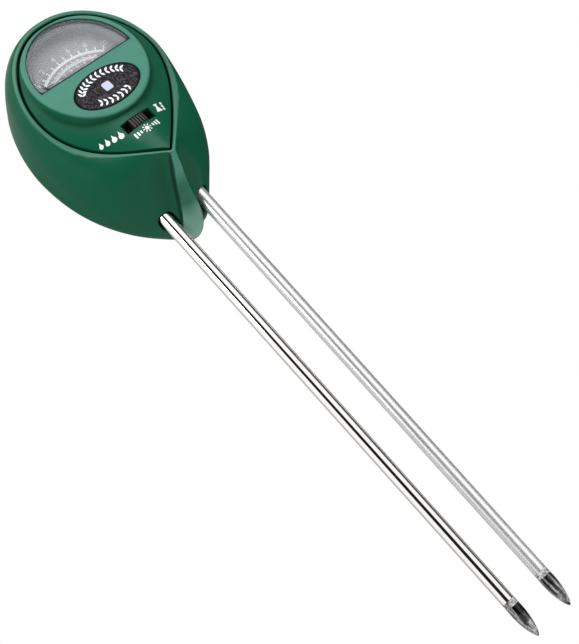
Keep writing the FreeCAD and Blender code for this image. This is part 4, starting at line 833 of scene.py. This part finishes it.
# seen from below the floor is clear, so that the underside can be looked at
f_out = [n for n in fnt.nodes if n.type == "OUTPUT_MATERIAL"][0]
f_geo = fnt.nodes.new("ShaderNodeNewGeometry")
f_tr = fnt.nodes.new("ShaderNodeBsdfTransparent")
f_mix = fnt.nodes.new("ShaderNodeMixShader")
fnt.links.new(f_geo.outputs["Backfacing"], f_mix.inputs[0])
fnt.links.new(fb.outputs[0], f_mix.inputs[1])
fnt.links.new(f_tr.outputs[0], f_mix.inputs[2])
fnt.links.new(f_mix.outputs[0], f_out.inputs[0])
floor.data.materials.append(fm)

world = bpy.data.worlds.new("studio")
scene.world = world
world.use_nodes = True
wt = world.node_tree
for n_ in list(wt.nodes):
    wt.nodes.remove(n_)
wout = wt.nodes.new("ShaderNodeOutputWorld")
bg_env = wt.nodes.new("ShaderNodeBackground")
bg_cam = wt.nodes.new("ShaderNodeBackground")
bg_cam.inputs["Color"].default_value = (1, 1, 1, 1)
bg_cam.inputs["Strength"].default_value = 1.0
lp = wt.nodes.new("ShaderNodeLightPath")
mixw = wt.nodes.new("ShaderNodeMixShader")
wt.links.new(lp.outputs["Is Camera Ray"], mixw.inputs[0])
wt.links.new(bg_env.outputs[0], mixw.inputs[1])
wt.links.new(bg_cam.outputs[0], mixw.inputs[2])
wt.links.new(mixw.outputs[0], wout.inputs[0])
# studio tent: pale all round, with dark gaps between the panels
tcw = wt.nodes.new("ShaderNodeTexCoord")
sep = wt.nodes.new("ShaderNodeSeparateXYZ")
wt.links.new(tcw.outputs["Generated"], sep.inputs[0])
az = math_(wt, "ARCTAN2", sep.outputs["Y"], sep.outputs["X"])
turn = math_(wt, "DIVIDE", math_(wt, "ADD", az, math.pi), 2 * math.pi)      # 0..1 from -180 to 180 degrees


def turn_of(deg):
    return ((deg + 180.0) % 360.0) / 360.0


stops = []
STRIPES = [(-180, 1.00), (-160, 1.00), (-102, 1.0), (-60, 1.0), (-46, 0.95), (-37, 0.07), (24, 0.06), (54, 0.07),
           (62, 0.50), (84, 0.50), (100, 0.40), (132, 0.50), (150, 0.92), (180, 1.00)]
for d_, v_ in STRIPES:
    stops.append((min(max((d_ + 180.0) / 360.0, 0.0), 1.0), g(v_)))
stripe = ramp(wt, turn, stops)
elev = maprange(wt, sep.outputs["Z"], -0.6, 1.0, 0.0, 1.0)
lift_ = ramp(wt, elev, [(0.0, g(0.55)), (0.45, g(0.80)), (0.8, g(1.15)), (1.0, g(1.25))])
mul = wt.nodes.new("ShaderNodeMix")
mul.data_type = "RGBA"
mul.blend_type = "MULTIPLY"
mul.inputs[0].default_value = 1.0
# a tall black flag behind the camera's side, wider below than above
az_deg = math_(wt, "MULTIPLY", az, 180.0 / math.pi)
off_ = math_(wt, "ABSOLUTE", math_(wt, "ADD", az_deg, 123.5))
half_w = maprange(wt, sep.outputs["Z"], -0.08, 0.28, 25.0, 12.0)
flag = math_(wt, "MULTIPLY", math_(wt, "SUBTRACT", off_, half_w), 0.25, True)
flag = maprange(wt, flag, 0.0, 1.0, 0.012, 1.0)
flagged = wt.nodes.new("ShaderNodeMix")
flagged.data_type = "RGBA"
flagged.blend_type = "MULTIPLY"
flagged.inputs[0].default_value = 1.0
wt.links.new(stripe, flagged.inputs[6])
wt.links.new(flag, flagged.inputs[7])
wt.links.new(flagged.outputs[2], mul.inputs[6])
wt.links.new(lift_, mul.inputs[7])
wt.links.new(mul.outputs[2], bg_env.inputs["Color"])
wt.links.new(maprange(wt, lp.outputs["Is Glossy Ray"], 0.0, 1.0, 0.80, 1.30), bg_env.inputs["Strength"])


def area(name, loc, target, size, power, color=(1, 1, 1)):
    l = bpy.data.lights.new(name, "AREA")
    l.shape = "RECTANGLE"
    l.size, l.size_y = size
    l.energy = power
    l.color = color
    o = bpy.data.objects.new(name, l)
    coll.objects.link(o)
    o.location = loc
    d = (Vector(target) - Vector(loc)).normalized()
    o.rotation_mode = "QUATERNION"
    o.rotation_quaternion = d.to_track_quat("-Z", "Y")
    return o


HEAD = (0, 0, 0.045)
area("key", (0.10, -0.75, 0.75), HEAD, (0.8, 0.8), 7.0)
area("fill_left", (-0.80, -0.35, 0.38), HEAD, (0.4, 0.6), 6.3)
# lights the head's right side without a glint on the probes
side = area("side_right", (0.75, -0.25, 0.12), HEAD, (0.4, 0.6), 2.6)
side.visible_glossy = False
